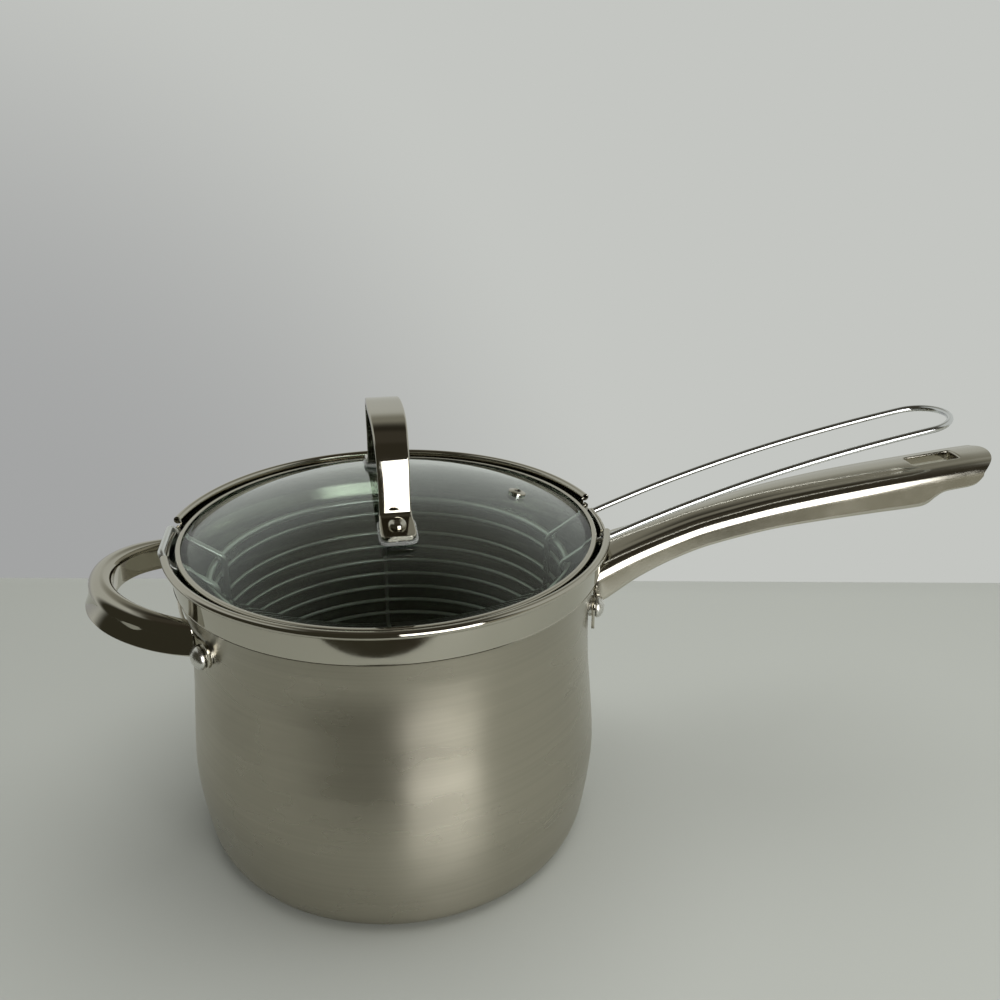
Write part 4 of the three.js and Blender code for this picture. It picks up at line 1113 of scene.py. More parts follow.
class STOCKPOT_OT_shell(bpy.types.Operator):
    """Make the pot's body with its polished rim band, its rolled edge and the two rim notches"""

    bl_idname = "stockpot.shell"
    bl_label = "Pot body"

    def execute(self, context):
        p = in_mm(context, "pot")
        half = in_mm(context, "basket").frame_half
        mesh = shell_mesh(p, half, wire_slot_floor(context))
        parts = [finish(context, name) for name in ("body", "polished", "inside")]
        piece("pot_body", mesh, "pot", ["pot_shell"], "brushed_body", *parts)
        return {"FINISHED"}


class STOCKPOT_OT_base(bpy.types.Operator):
    """Make the base: an aluminium disc closed in by a turned steel cap"""

    bl_idname = "stockpot.base"
    bl_label = "Base"

    def execute(self, context):
        low, high = span("base_core")
        core = rounded(four_corners(0, high.y, low.z, high.z), 0.5)
        mesh = turned("base_disc", core, 128)
        piece("base_disc", mesh, "pot", ["base_core"], "aluminium_core", finish(context, "core"))
        cap_low, cap_high = span("base_cap")
        inside = high.y + SEAT_GAP
        cap = [
            (0, cap_low.z),
            (cap_high.y, cap_low.z),
            (cap_high.y, cap_high.z),
            (inside, cap_high.z),
            (inside, low.z - SEAT_GAP),
            (0, low.z - SEAT_GAP),
        ]
        mesh = turned("base_plate", rounded(cap, 0.6), 192)
        piece("base_plate", mesh, "pot", ["base_cap"], "base_steel", finish(context, "base"))
        return {"FINISHED"}


# Handle plates and rivets
# A plate's rows and columns of faces, and the play of a rivet in its spacer in millimetres.
PLATE_ROWS = 24
PLATE_COLUMNS = 48
COLLAR_GAP = 0.25


def plate_outside(node):
    """Return the radius of a handle plate's outside in the frame."""
    low, high = span(node)
    return max(abs(low.x), abs(high.x))


def plate_mesh(name, node, turn, thickness, corner):
    """Return a curved plate with rounded corners where the frame has it."""
    low, high = span(node)
    outer = plate_outside(node)
    half = math.asin(high.y / outer) * outer
    tall = (high.z - low.z) / 2
    middle = (high.z + low.z) / 2
    rows = []
    for i in range(PLATE_ROWS + 1):
        share = -math.cos(math.pi * i / PLATE_ROWS)
        v = tall * share
        past = max(abs(v) - (tall - corner), 0)
        width = half - corner + math.sqrt(max(corner**2 - past**2, 0))
        row = []
        for j in range(PLATE_COLUMNS + 1):
            a = turn + width * mix(-1, 1, j / PLATE_COLUMNS) / outer
            row.append(Vector((outer * math.cos(a), outer * math.sin(a), middle + v)))
        rows.append(row[::-1])
    sheet = skinned(name, rows[::-1])
    return pressed(name, sheet, thickness)


def rivet_outline(h, inside, plate):
    """Return a rivet's outline of (radius, distance from the pot's axis)."""
    tail = inside - SEAT_GAP
    head = plate + 0.05
    flat = [
        (0, tail - h.rivet_tail),
        (h.rivet_head * 0.86, tail - h.rivet_tail),
        (h.rivet_head * 0.95, tail),
        (h.rivet_shank, tail),
        (h.rivet_shank, head),
        (h.rivet_head, head),
    ]
    # The dome takes the place of the last corner, which is rounded with five points.
    outline = rounded(flat, 0.3)[:-5]
    outline.append(Vector((h.rivet_head - 0.5, head)))
    for k in range(19):
        a = mix(-0.5, math.pi / 2, k / 18)
        rise = h.rivet_dome if a > 0 else h.rivet_edge * 2
        z = head + h.rivet_edge + rise * math.sin(a)
        outline.append(Vector((h.rivet_head * math.cos(a), z)))
    return outline


class STOCKPOT_OT_plates(bpy.types.Operator):
    """Make the curved plates that the handles are welded to"""

    bl_idname = "stockpot.plates"
    bl_label = "Handle plates"

    def execute(self, context):
        h = in_mm(context, "handles")
        for handle, turn in (("long_handle", 0), ("side_handle", math.pi)):
            node = handle + "_plate"
            mesh = plate_mesh(handle + "_bracket", node, turn, h.plate_thickness, h.plate_corner)
            material = finish(context, "polished")
            piece(handle + "_bracket", mesh, "pot", [node], "polished_steel", material)
        return {"FINISHED"}


class STOCKPOT_OT_rivets(bpy.types.Operator):
    """Set two rivets and their spacers through each handle plate"""

    bl_idname = "stockpot.rivets"
    bl_label = "Rivets and spacers"

    def execute(self, context):
        p = in_mm(context, "pot")
        h = in_mm(context, "handles")
        material = finish(context, "rivet")
        for handle in ("long_handle", "side_handle"):
            sides = ("front", "back")
            spots = [pin_of(f"{handle}_spacer_{side}") for side in sides]
            axes = [Vector((math.cos(a), math.sin(a), 0)) for a, z in spots]
            places = [(0, 0, z) for a, z in spots]
            outer = plate_outside(handle + "_plate")
            wall = outside_at(p, spots[0][1])
            outline = rivet_outline(h, wall - p.wall, outer)
            rivet = turned("rivet", outline, 40)
            mesh = pins(handle + "_rivets", rivet, places, axes, material)
            nodes = [f"{handle}_rivet_{side}" for side in sides]
            piece(handle + "_rivets", mesh, "pot", nodes, "polished_steel")
            bore = h.rivet_shank + COLLAR_GAP
            back = outer - h.plate_thickness
            rim = span(f"{handle}_spacer_front")
            collar = (rim[1].z - rim[0].z) / 2
            ring = rounded(four_corners(bore, collar, wall, back), 0.2)
            spacer = turned("spacer", ring, 40)
            mesh = pins(handle + "_collars", spacer, places, axes, material)
            nodes = [f"{handle}_spacer_{side}" for side in sides]
            piece(handle + "_collars", mesh, "pot", nodes, "polished_steel")
        return {"FINISHED"}


# Long handle
# The top line: share of the run from the root to the end, and share of the rise.
GRIP_PATH = [
    (-0.071, -0.15), (0, 0), (0.061, 0.108), (0.137, 0.232), (0.227, 0.374), (0.387, 0.574),
    (0.523, 0.701), (0.661, 0.804), (0.799, 0.889), (0.924, 0.964), (1, 1),
]
# The channel's depth in millimetres at a share of its length.
GRIP_DEPTH = [
    (0, 18.8), (0.045, 17.6), (0.092, 16.4), (0.18, 15.0), (0.287, 14.8), (0.437, 15.4),
    (0.562, 16.7), (0.689, 18.1), (0.795, 18.9), (0.815, 18.0), (0.835, 15.2), (0.855, 13.2),
    (0.9, 12.8), (0.922, 12.6), (0.938, 11.7), (0.949, 9.8), (0.9555, 8.3), (1, 8.2),
]
# Columns across the sheet run from 0 in its middle to 1 at its edge: top, then shoulder, then flange.
SHOULDER_FROM = 0.3
FLANGE_FROM = 0.62
# The window that is left in the top round the hanging slot: its half width as a column, and in
# millimetres its margin past the slot's ends and the plain run behind it.
WINDOW_COLUMN = 0.245
WINDOW_MARGIN = 2.6
WINDOW_TO_TAIL = 1.5
# Distances from the pot's axis in millimetres: the channel starts after the first, where it clears
# the plate, and its rows run straight across from the second.
ROOT_AFTER = 80.0
ROOT_TO = 126
# The end's rounding as a share of the half width, and how far out it is followed.
END_ROUNDING = 0.75
END_FOLLOWED = 0.985


def keep_clear(p, node, z):
    """Return the radius that a handle's end stops at: the pot's outside, or its plate."""
    outside = outside_at(p, z) + SEAT_GAP
    if z < span(node)[0].z:
        return outside
    return max(outside, plate_outside(node) + SEAT_GAP / 2)


class GripShape:
    """The surface of the long handle's channel, as a place for a run and a place across."""

    def __init__(self, p, h):
        at = pot_places(p)
        self.h = h
        self.root = Vector((at.band + h.grip_root_out, p.height - h.grip_root_drop))
        self.end = Vector((span("long_handle_grip")[1].x, self.root.y + h.grip_rise))
        self.start = mix(self.root.x, self.end.x, GRIP_PATH[0][0])
        self.length = self.end.x - self.start
        waist, full = h.grip_waist, h.grip_half
        self.half_table = [
            (0, h.grip_root_half + 2),
            (0.06, h.grip_root_half),
            (0.12, mix(h.grip_root_half, waist, 0.46)),
            (0.2, mix(h.grip_root_half, waist, 0.88)),
            (0.27, waist),
            (0.37, mix(waist, full, 0.3)),
            (0.5, mix(waist, full, 0.75)),
            (0.64, full),
            (1, full),
        ]

    def line(self, x):
        """Return the height of the handle's top line at x."""
        run = (x - self.root.x) / (self.end.x - self.root.x)
        return mix(self.root.y, self.end.y, table_at(GRIP_PATH, run))

    def place(self, x, column):
        """Return the point at x whose place across is a column from -1, one edge, to 1, the other.

        The flanges take the outer parts of that range, the shoulders the next, the top the middle.
        """
        h = self.h
        share = (x - self.start) / self.length
        half = table_at(self.half_table, share)
        depth = table_at(GRIP_DEPTH, share)
        r = h.grip_shoulder
        away = abs(column)
        if away > FLANGE_FROM:
            y = half
            z = mix(-h.grip_crown - r, -depth, (away - FLANGE_FROM) / (1 - FLANGE_FROM))
        elif away > SHOULDER_FROM:
            a = math.pi / 2 * (FLANGE_FROM - away) / (FLANGE_FROM - SHOULDER_FROM)
            y = half - r + r * math.cos(a)
            z = -h.grip_crown - r + r * math.sin(a)
        else:
            y = (half - r) * away / SHOULDER_FROM
            z = -h.grip_crown * (away / SHOULDER_FROM) ** 2
        slope = Vector((1.0, self.line(x + 0.5) - self.line(x - 0.5))).normalized()
        side = math.copysign(y, column)
        return Vector((x - slope.y * z, side, self.line(x) + slope.x * z))

    def across(self, x, y):
        """Return the column that lies y from the middle of the top at x."""
        share = (x - self.start) / self.length
        return y / (table_at(self.half_table, share) - self.h.grip_shoulder) * SHOULDER_FROM

    def end_at(self, y):
        """Return x of the rounded end at a distance from the middle."""
        corner = self.h.grip_half * END_ROUNDING
        lean = min(abs(y) / (self.h.grip_half + 0.2), END_FOLLOWED)
        return self.end.x - corner + corner * math.sqrt(1 - lean**2)


def slot_patch(shape, h, xs, columns):
    """Return rings of points that lead from a window in the sheet to the slot's turned-down edge."""
    middle = shape.end.x - h.slot_margin - h.slot_length / 2
    r = h.slot_corner
    long = h.slot_length / 2 - r
    wide = h.slot_width / 2 - r
    rim = [(x, columns[0]) for x in xs[:-1]] + [(xs[-1], c) for c in columns[:-1]]
    rim += [(x, columns[-1]) for x in xs[:0:-1]] + [(xs[0], c) for c in columns[:0:-1]]
    rings = [[] for _ in range(12)]
    for x, column in rim:
        outer = shape.place(x, column)
        # The nearest point of the slot's outline, seen from above
        core = Vector((min(max(x, middle - long), middle + long), min(max(outer.y, -wide), wide)))
        away = (Vector((x, outer.y)) - core).normalized()
        hem = h.slot_hem
        for k in range(5):
            share = (k / 4) ** 0.8
            plan = core + away * (r + hem)
            x_at = mix(x, plan.x, share)
            y_at = mix(outer.y, plan.y, share)
            rings[k].append(shape.place(x_at, shape.across(x_at, y_at)))
        for k in range(1, 5):
            a = math.pi / 2 * k / 4
            plan = core + away * (r + hem * (1 - math.sin(a)))
            top = shape.place(plan.x, shape.across(plan.x, plan.y))
            rings[4 + k].append(top - Vector((0, 0, hem * (1 - math.cos(a)))))
        for k in range(1, 4):
            rings[8 + k].append(rings[8][-1] - Vector((0, 0, h.slot_wall * k / 3)))
    return rings


def grip_mesh(p, h):
    """Return the long handle: an upside-down channel with a hanging slot near its rounded end."""
    shape = GripShape(p, h)
    flange = [mix(-1, -FLANGE_FROM, k / 6) for k in range(6)]
    shoulder = [mix(-FLANGE_FROM, -SHOULDER_FROM, k / 9) for k in range(9)]
    top = [mix(-SHOULDER_FROM, -WINDOW_COLUMN, k / 2) for k in range(2)]
    left = flange + shoulder + top
    middle = [mix(-WINDOW_COLUMN, WINDOW_COLUMN, k / 10) for k in range(11)]
    columns = left + middle + [-c for c in reversed(left)]
    slot_end = shape.end.x - h.slot_margin + WINDOW_MARGIN
    slot_start = slot_end - h.slot_length - 2 * WINDOW_MARGIN
    tail_from = slot_end + WINDOW_TO_TAIL
    fixed = [mix(ROOT_TO, slot_start, k / 56) for k in range(56)]
    window_xs = [mix(slot_start, slot_end, k / 20) for k in range(21)]
    fixed += window_xs + [tail_from]
    rows = []
    starts = []
    for column in columns:
        near, far = ROOT_AFTER, ROOT_TO
        for _ in range(40):
            x = (near + far) / 2
            q = shape.place(x, column)
            if math.hypot(q.x, q.y) > keep_clear(p, "long_handle_plate", q.z):
                far = x
            else:
                near = x
        starts.append(far)
    for k in range(14):
        rows.append([shape.place(mix(s, ROOT_TO, k / 14), c) for s, c in zip(starts, columns)])
    first_window = len(rows) + fixed.index(window_xs[0])
    rows += [[shape.place(x, c) for c in columns] for x in fixed]
    for k in range(1, 15):
        row = []
        for c in columns:
            limit = shape.end_at(shape.place(tail_from, c).y)
            row.append(shape.place(mix(tail_from, limit, math.sin(math.pi / 2 * k / 14)), c))
        rows.append(row)
    count = len(columns)
    points = [q for row in rows for q in row]
    faces = []
    hole_rows = range(first_window, first_window + len(window_xs) - 1)
    hole_columns = range(len(left), len(left) + len(middle) - 1)
    for i in range(len(rows) - 1):
        for j in range(count - 1):
            if i in hole_rows and j in hole_columns:
                continue
            a = i * count + j
            faces.append((a, a + count, a + count + 1, a + 1))
    rings = slot_patch(shape, h, window_xs, middle)
    ring = len(rings[0])
    first = len(points)
    points += [q for row in rings for q in row]
    for i in range(len(rings) - 1):
        for j in range(ring):
            k = (j + 1) % ring
            a = first + i * ring
            faces.append((a + j, a + k, a + ring + k, a + ring + j))
    sheet = mesh_from("long_handle_channel", points, faces, closed=False)
    return pressed("long_handle_channel", sheet, h.sheet)


class STOCKPOT_OT_long_handle(bpy.types.Operator):
    """Press the long handle as a channel with a hanging slot"""

    bl_idname = "stockpot.long_handle"
    bl_label = "Long handle"

    def execute(self, context):
        p = in_mm(context, "pot")
        mesh = grip_mesh(p, in_mm(context, "handles"))
        name = "long_handle_channel"
        piece(name, mesh, "pot", ["long_handle_grip"], "polished_steel", finish(context, "grip"))
        return {"FINISHED"}


# Side handle
# Powers that shape the loop's bow and the change of its width, its steps along, and the small step
# along it that gives its direction.
LOOP_BOW = 1.06
LOOP_SWELL = 0.9
LOOP_STEPS = 96
LOOP_NEAR = 0.004


def loop_outline(h, half, flare):
    """Return the loop's section from the outer flange's edge over the top to the inner edge."""
    r = min(h.loop_shoulder, half * 1.4)
    lip = min(h.loop_lip, half * 0.9)
    foot = Vector((-half - flare, -h.loop_depth))
    knee = Vector((-half - flare * 0.3, -mix(r, h.loop_depth, 0.5)))
    top = Vector((-half, -r))
    out = []
    for k in range(10):
        t = k / 10
        bow = knee * 2 - (foot + top) / 2
        out.append(foot * (1 - t) ** 2 + bow * 2 * t * (1 - t) + top * t * t)
    out += arc(Vector((-half + r, -r)), r, 180, 90, 10)
    crown = -half + r
    for k in range(1, 11):
        a = math.pi / 2 * k / 10
        out.append(Vector((crown + (half - crown) * math.sin(a), -lip * (1 - math.cos(a)))))
    for k in range(1, 7):
        out.append(Vector((half, mix(-lip, -h.loop_depth + 1, k / 6))))
    return out


def loop_mesh(p, h):
    """Return the side handle: a bowed loop of channel, wide in the middle and slim at its ends."""
    foot = reach_at(plate_outside("side_handle_plate"), h.loop_half) - h.loop_buried

    def middle_at(t):
        a = mix(-math.pi / 2, math.pi / 2, t)
        out = max(math.cos(a), 0) ** LOOP_BOW
        z = p.height - h.loop_drop - h.loop_end_drop * (1 - out)
        return Vector((-(foot + (h.loop_reach + h.loop_buried) * out), h.loop_half * math.sin(a), z))

    def section_at(t):
        along = middle_at(min(t + LOOP_NEAR, 1)) - middle_at(max(t - LOOP_NEAR, 0))
        along.z = 0
        along.normalize()
        share = max(math.sin(math.pi * t), 0) ** LOOP_SWELL
        half = mix(h.loop_end_width, h.loop_width, share) / 2
        side = Vector((along.y, -along.x, 0))
        at = middle_at(t)
        up = Vector((0, 0, 1))
        return [at + side * q.x + up * q.y for q in loop_outline(h, half, h.loop_flare * share)]

    steps = LOOP_STEPS
    grid = [section_at(k / steps) for k in range(steps + 1)]
    count = len(grid[0])

    def inside_at(column, t):
        q = section_at(t)[column]
        return math.hypot(q.x, q.y) < keep_clear(p, "side_handle_plate", q.z)

    def ends_on_plate(column, from_t, to_t):
        for _ in range(22):
            t = (from_t + to_t) / 2
            if inside_at(column, t):
                from_t = t
            else:
                to_t = t
        return to_t

    limits = [(ends_on_plate(j, 0, 0.3), ends_on_plate(j, 1, 0.7)) for j in range(count)]
    rows = []
    for k in range(steps + 1):
        share = (1 - math.cos(math.pi * k / steps)) / 2
        row = []
        for j, (start, end) in enumerate(limits):
            t = mix(start, end, mix(share, k / steps, 0.5)) * steps
            i = min(int(t), steps - 1)
            row.append(grid[i][j].lerp(grid[i + 1][j], t - i))
        rows.append(row)
    sheet = skinned("side_handle_channel", rows)
    return pressed("side_handle_channel", sheet, h.sheet)


class STOCKPOT_OT_side_handle(bpy.types.Operator):
    """Press the side handle as a bowed loop of channel"""

    bl_idname = "stockpot.side_handle"
    bl_label = "Side handle"

    def execute(self, context):
        p = in_mm(context, "pot")
        mesh = loop_mesh(p, in_mm(context, "handles"))
        name = "side_handle_channel"
        piece(name, mesh, "pot", ["side_handle_loop"], "polished_steel", finish(context, "polished"))
        return {"FINISHED"}


# Basket
# The frame wires' rise from the knee to the lid, and their slope from there through the notch.
FRAME_ANGLE = math.radians(32.2)
NOTCH_SLOPE = 0.4
# Bend radii in millimetres: a frame wire at the floor, at the knee and under the lid, the hook's cross
# bar, and the rib. The frame wires' ends stop this short of the basket's middle.
FRAME_BENDS = [8, 5, 6]
BAR_BEND = 3.5
RIB_BEND = 9
MIDDLE_GAP = 0.5
# The handle's height as powers of the way from the notch to its tip, and its slope there as a share
# of the mean slope, which follows from them.
HANDLE_RISE = (1.42, -0.5, 0.08)
TIP_SLOPE = 0.66


def basket_places(context):
    """Return where the basket's frame wires run: legs, knee, under the lid and out of the notch."""
    b = in_mm(context, "basket")
    p = in_mm(context, "pot")
    ring_r, ring_z = ring_of("basket_top_ring", b.ring_wire)
    hoop_r = ring_of("basket_hoop_01", b.hoop_wire)[0]
    floor_z = ring_of("basket_floor_ring_1", b.hoop_wire)[1]
    leg_r = hoop_r - b.hoop_wire - b.frame_wire
    leg_x = reach_at(leg_r, b.frame_half)
    ring_x = reach_at(ring_r, b.frame_half)
    clear = b.ring_wire + SEAT_GAP + b.frame_wire
    over = Vector((ring_x - clear * math.sin(FRAME_ANGLE), ring_z + clear * math.cos(FRAME_ANGLE)))
    rise = math.tan(FRAME_ANGLE)
    lid_x = reach_at(span("lid_band")[1].y, b.frame_half)
    knee_z = over.y - (over.x - leg_x) * rise
    out_x = p.rim - p.roll + 1
    under_lid = Vector((lid_x, over.y + (lid_x - over.x) * rise))
    return SimpleNamespace(
        leg_x=leg_x,
        leg_r=leg_r,
        knee_z=knee_z,
        frame_floor=floor_z + b.hoop_wire + b.frame_wire,
        rib_floor=floor_z - b.hoop_wire - b.rib_wire,
        rib_r=hoop_r + b.hoop_wire + b.rib_wire,
        under_lid=under_lid,
        notch_out=Vector((out_x, under_lid.y + (out_x - lid_x) * NOTCH_SLOPE)),
        ring=(ring_r, ring_z),
    )


def leg_corners(at, x_side, y):
    """Return the corners of a frame wire on one side: along the floor and up its leg."""
    return [
        Vector((x_side * MIDDLE_GAP, y, at.frame_floor)),
        Vector((x_side * at.leg_x, y, at.frame_floor)),
        Vector((x_side * at.leg_x, y, at.knee_z)),
    ]


def handle_path(context):
    """Return the basket handle's wire: up both legs, over the ring and out to a round tip."""
    b = in_mm(context, "basket")
    p = in_mm(context, "pot")
    at = basket_places(context)
    tip_z = p.height + b.tip_rise
    tip_from = b.reach - b.frame_half
    run = tip_from - at.notch_out.x
    # The round tip goes on along the slope with which the sides arrive.
    slope = TIP_SLOPE * (tip_z - at.notch_out.y) / (run + TIP_SLOPE * b.frame_half)
    rise = tip_z - slope * b.frame_half - at.notch_out.y

    def side(y):
        corners = leg_corners(at, 1, y)
        corners += [Vector((q.x, y, q.y)) for q in (at.under_lid, at.notch_out)]
        path = bent(corners, FRAME_BENDS, 10)
        first, second, third = HANDLE_RISE
        for k in range(1, 33):
            t = k / 32
            z = at.notch_out.y + rise * (first * t + second * t**2 + third * t**3)
            path.append(Vector((mix(at.notch_out.x, tip_from, t), y, z)))
        return path

    tip = []
    for k in range(1, 32):
        a = math.pi / 2 - math.pi * k / 32
        out = b.frame_half * math.cos(a)
        place = (tip_from + out, b.frame_half * math.sin(a), tip_z - slope * (b.frame_half - out))
        tip.append(Vector(place))
    return side(b.frame_half) + tip + side(-b.frame_half)[::-1]


def hook_path(context):
    """Return the basket hook's wire: up both legs to a cross bar that rests in the rim's notch."""
    b = in_mm(context, "basket")
    p = in_mm(context, "pot")
    at = basket_places(context)
    turn_x = at.under_lid.x + b.hook_run
    turn_z = at.under_lid.y + b.hook_run * math.tan(FRAME_ANGLE)
    bar_x = pot_places(p).band + b.hook_out
    bar_z = p.height - p.notch_drop + SEAT_GAP + b.frame_wire

    def side(y):
        turns = [Vector((-turn_x, y, turn_z)), Vector((-bar_x, y, bar_z))]
        return leg_corners(at, -1, y) + turns

    corners = side(b.frame_half) + side(-b.frame_half)[::-1]
    return bent(corners, [*FRAME_BENDS, BAR_BEND, BAR_BEND, *FRAME_BENDS[::-1]], 10)


def rib_path(context):
    """Return the rib's wire: down one side, under the floor rings and up the other side."""
    b = in_mm(context, "basket")
    at = basket_places(context)
    top = at.ring[1] - b.ring_wire - b.rib_wire * 0.4
    corners = [
        Vector((0, -at.rib_r, top)),
        Vector((0, -at.rib_r, at.rib_floor)),
        Vector((0, at.rib_r, at.rib_floor)),
        Vector((0, at.rib_r, top)),
    ]
    return bent(corners, [RIB_BEND, RIB_BEND], 12)


HOOPS = [f"basket_hoop_{i:02d}" for i in range(1, 12)]
FLOOR_RINGS = [f"basket_floor_ring_{i}" for i in range(1, 5)]


class STOCKPOT_OT_hoops(bpy.types.Operator):
    """Stand the basket's hoops, floor rings and top ring"""

    bl_idname = "stockpot.hoops"
    bl_label = "Basket rings"

    def execute(self, context):
        b = in_mm(context, "basket")
        material = finish(context, "cage")
        tree = tree_named("Wire hoops", hoop_tree)
        groups = (
            ("basket_hoops", HOOPS, b.hoop_wire),
            ("basket_floor", FLOOR_RINGS, b.hoop_wire),
            ("basket_rim_ring", ["basket_top_ring"], b.ring_wire),
        )
        for name, nodes, wire in groups:
            rings = [ring_of(node, wire) for node in nodes]
            source = points_mesh(
                name, [(0, 0, z) for r, z in rings], hoop_radius=[r * MM for r, z in rings]
            )
            mesh = grown(name, tree, source, wire_radius=wire * MM, steps=HOOP_STEPS, material=material)
            piece(name, mesh, "basket", nodes, "chrome_wire")
        return {"FINISHED"}


class STOCKPOT_OT_frame_wires(bpy.types.Operator):
    """Bend the basket's handle, hook and rib from round wire"""

    bl_idname = "stockpot.frame_wires"
    bl_label = "Basket handle, hook and rib"

    def execute(self, context):
        b = in_mm(context, "basket")
        tree = tree_named("Wire along a path", wire_tree)
        wires = (
            ("basket_handle_wire", handle_path(context), b.frame_wire, "basket_handle", "wire"),
            ("basket_hook_wire", hook_path(context), b.frame_wire, "basket_hook", "cage"),
            ("basket_rib_wire", rib_path(context), b.rib_wire, "basket_rib", "cage"),
        )
        for name, path, radius, node, part in wires:
            mesh = grown(
                name,
                tree,
                path_mesh(name, path),
                wire_radius=radius * MM,
                sides=WIRE_SIDES,
                material=finish(context, part),
            )
            piece(name, mesh, "basket", [node], "chrome_wire")
        return {"FINISHED"}


def four_sides(x, y, z):
    """Return a spot and its mirror images on the other sides of the basket."""
    return [(sx * x, sy * y, z) for sx in (1, -1) for sy in (1, -1)]


class STOCKPOT_OT_welds(bpy.types.Operator):
    """Set a weld bead where the basket's wires cross"""

    bl_idname = "stockpot.welds"
    bl_label = "Basket welds"

    def execute(self, context):
        b = in_mm(context, "basket")
        at = basket_places(context)
        spots = []
        for node in HOOPS:
            r, z = ring_of(node, b.hoop_wire)
            if z > at.frame_floor + FRAME_BENDS[0]:
                touch = r - b.hoop_wire
                lean = b.frame_half * touch / at.leg_r
                spots += four_sides(reach_at(touch, lean), lean, z)
            spots += [(0, sy * (r + b.hoop_wire), z) for sy in (1, -1)]
        for node in FLOOR_RINGS:
            r, z = ring_of(node, b.hoop_wire)
            if r > b.frame_half:
                x = reach_at(r, b.frame_half)
                spots += four_sides(x, b.frame_half, z + b.hoop_wire)
            spots += [(0, sy * r, z - b.hoop_wire) for sy in (1, -1)]
        ring_r, ring_z = at.ring
        x = reach_at(ring_r, b.frame_half) - b.ring_wire * math.sin(FRAME_ANGLE)
        spots += four_sides(x, b.frame_half, ring_z + b.ring_wire * math.cos(FRAME_ANGLE))
        mesh = grown(
            "basket_welds",
            tree_named("Weld beads", bead_tree),
            points_mesh("basket_welds", spots),
            bead_radius=b.weld * MM,
            material=finish(context, "cage"),
        )
        mesh.name = "basket_welds"
        mesh.shade_smooth()
        beads = on_carrier("basket_welds", mesh)
        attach(beads, "basket")
        return {"FINISHED"}


# Lid
# Lengths in millimetres: the flat of the glass inside its band, the bevel of the glass's edge, the
# reach of the drills through it, the strap's bend at its foot and the rounding of its toe.
GLASS_FLAT = 1.2
GLASS_BEVEL = 0.8
DRILL_REACH = 12
ANKLE_BEND = 4.4
TOE = 3.4
# Share of the strap's arch that its straight leg takes up.
LEG_TO = 0.12


def lid_places(context):
    """Return the places of the lid that follow from its band and its glass in the frame."""
    s = in_mm(context, "lid")
    low, high = span("lid_band")
    flange_in = high.y - s.flange
    top = high.z - s.band_sheet - SEAT_GAP
    bottom = low.z + s.band_sheet + SEAT_GAP
    edge = flange_in - GLASS_FLAT
    ball = (edge**2 + s.glass_rise**2) / (2 * s.glass_rise)
    return SimpleNamespace(
        radius=high.y,
        low=low.z,
        high=high.z,
        flange_in=flange_in,
        glass_top=top,
        glass_bottom=bottom,
        depth=top - bottom,
        dome_edge=edge,
        ball=ball,
        dome_top=top + s.glass_rise,
        screw_at=s.strap_half + s.screw_out,
    )


def dome_height(at, r):
    """Return the height of the glass's upper face at a radius."""
    return at.dome_top - at.ball + reach_at(at.ball, r)


def on_dome(at, r, angle):
    """Return the place of a piece that stands square on the glass at a radius and an angle."""
    lean = math.asin(r / at.ball)
    stand = Matrix.Translation((r, 0, dome_height(at, r))) @ Matrix.Rotation(lean, 4, "Y")
    return Matrix.Rotation(angle, 4, "Z") @ stand


def strap_angles(context):
    """Return the angles round the lid of the strap's front and back feet."""
    turn = context.scene.stockpot_angles.strap_turn
    return {"front": turn - math.pi / 2, "back": turn + math.pi / 2}


class STOCKPOT_OT_lid_band(bpy.types.Operator):
    """Roll the steel band that wraps the glass's edge"""

    bl_idname = "stockpot.lid_band"
    bl_label = "Lid band"

    def execute(self, context):
        s = in_mm(context, "lid")
        at = lid_places(context)
        inside = at.radius - s.band_sheet
        outline = [
            (at.flange_in, at.low),
            (at.radius, at.low),
            (at.radius, at.high),
            (at.flange_in, at.high),
            (at.flange_in, at.high - s.band_sheet),
            (inside, at.high - s.band_sheet),
            (inside, at.low + s.band_sheet),
            (at.flange_in, at.low + s.band_sheet),
        ]
        mesh = turned("lid_rim", rounded(outline, 1.1, 5), 240)
        piece("lid_rim", mesh, "lid", ["lid_band"], "polished_steel", finish(context, "polished"))
        return {"FINISHED"}


class STOCKPOT_OT_lid_glass(bpy.types.Operator):
    """Press the domed glass with its holes for the vent and the strap's screws"""

    bl_idname = "stockpot.lid_glass"
    bl_label = "Lid glass"

    def execute(self, context):
        s = in_mm(context, "lid")
        at = lid_places(context)
        edge = at.radius - s.band_sheet - SEAT_GAP
        radii = [at.dome_edge * k / 44 for k in range(45)]
        upper = [Vector((r, dome_height(at, r))) for r in radii]
        lower = [q - Vector((0, at.depth)) for q in upper]
        outline = lower + [
            Vector((edge - GLASS_BEVEL, at.glass_bottom)),
            Vector((edge, at.glass_bottom + GLASS_BEVEL)),
            Vector((edge, at.glass_top - GLASS_BEVEL)),
            Vector((edge - GLASS_BEVEL, at.glass_top)),
        ]
        outline += upper[::-1]
        mesh = turned("lid_dome", outline, 192)
        holes = [(at.screw_at, a, s.screw_shank) for a in strap_angles(context).values()]
        holes.append((s.vent_at, context.scene.stockpot_angles.vent_turn, s.vent_tube))
        for r, angle, pin in holes:
            bore = four_corners(0, pin + HOLE_GAP, -DRILL_REACH, DRILL_REACH)
            drill = on_carrier("drill", turned("drill", bore, 32, on_dome(at, r, angle)))
            mesh = worked(
                "lid_dome", mesh, ("BOOLEAN", {"operation": "DIFFERENCE", "object": drill})
            )
            bpy.data.objects.remove(drill)
        piece("lid_dome", mesh, "lid", ["lid_glass"], "lid_glass", finish(context, "glass"))
        return {"FINISHED"}


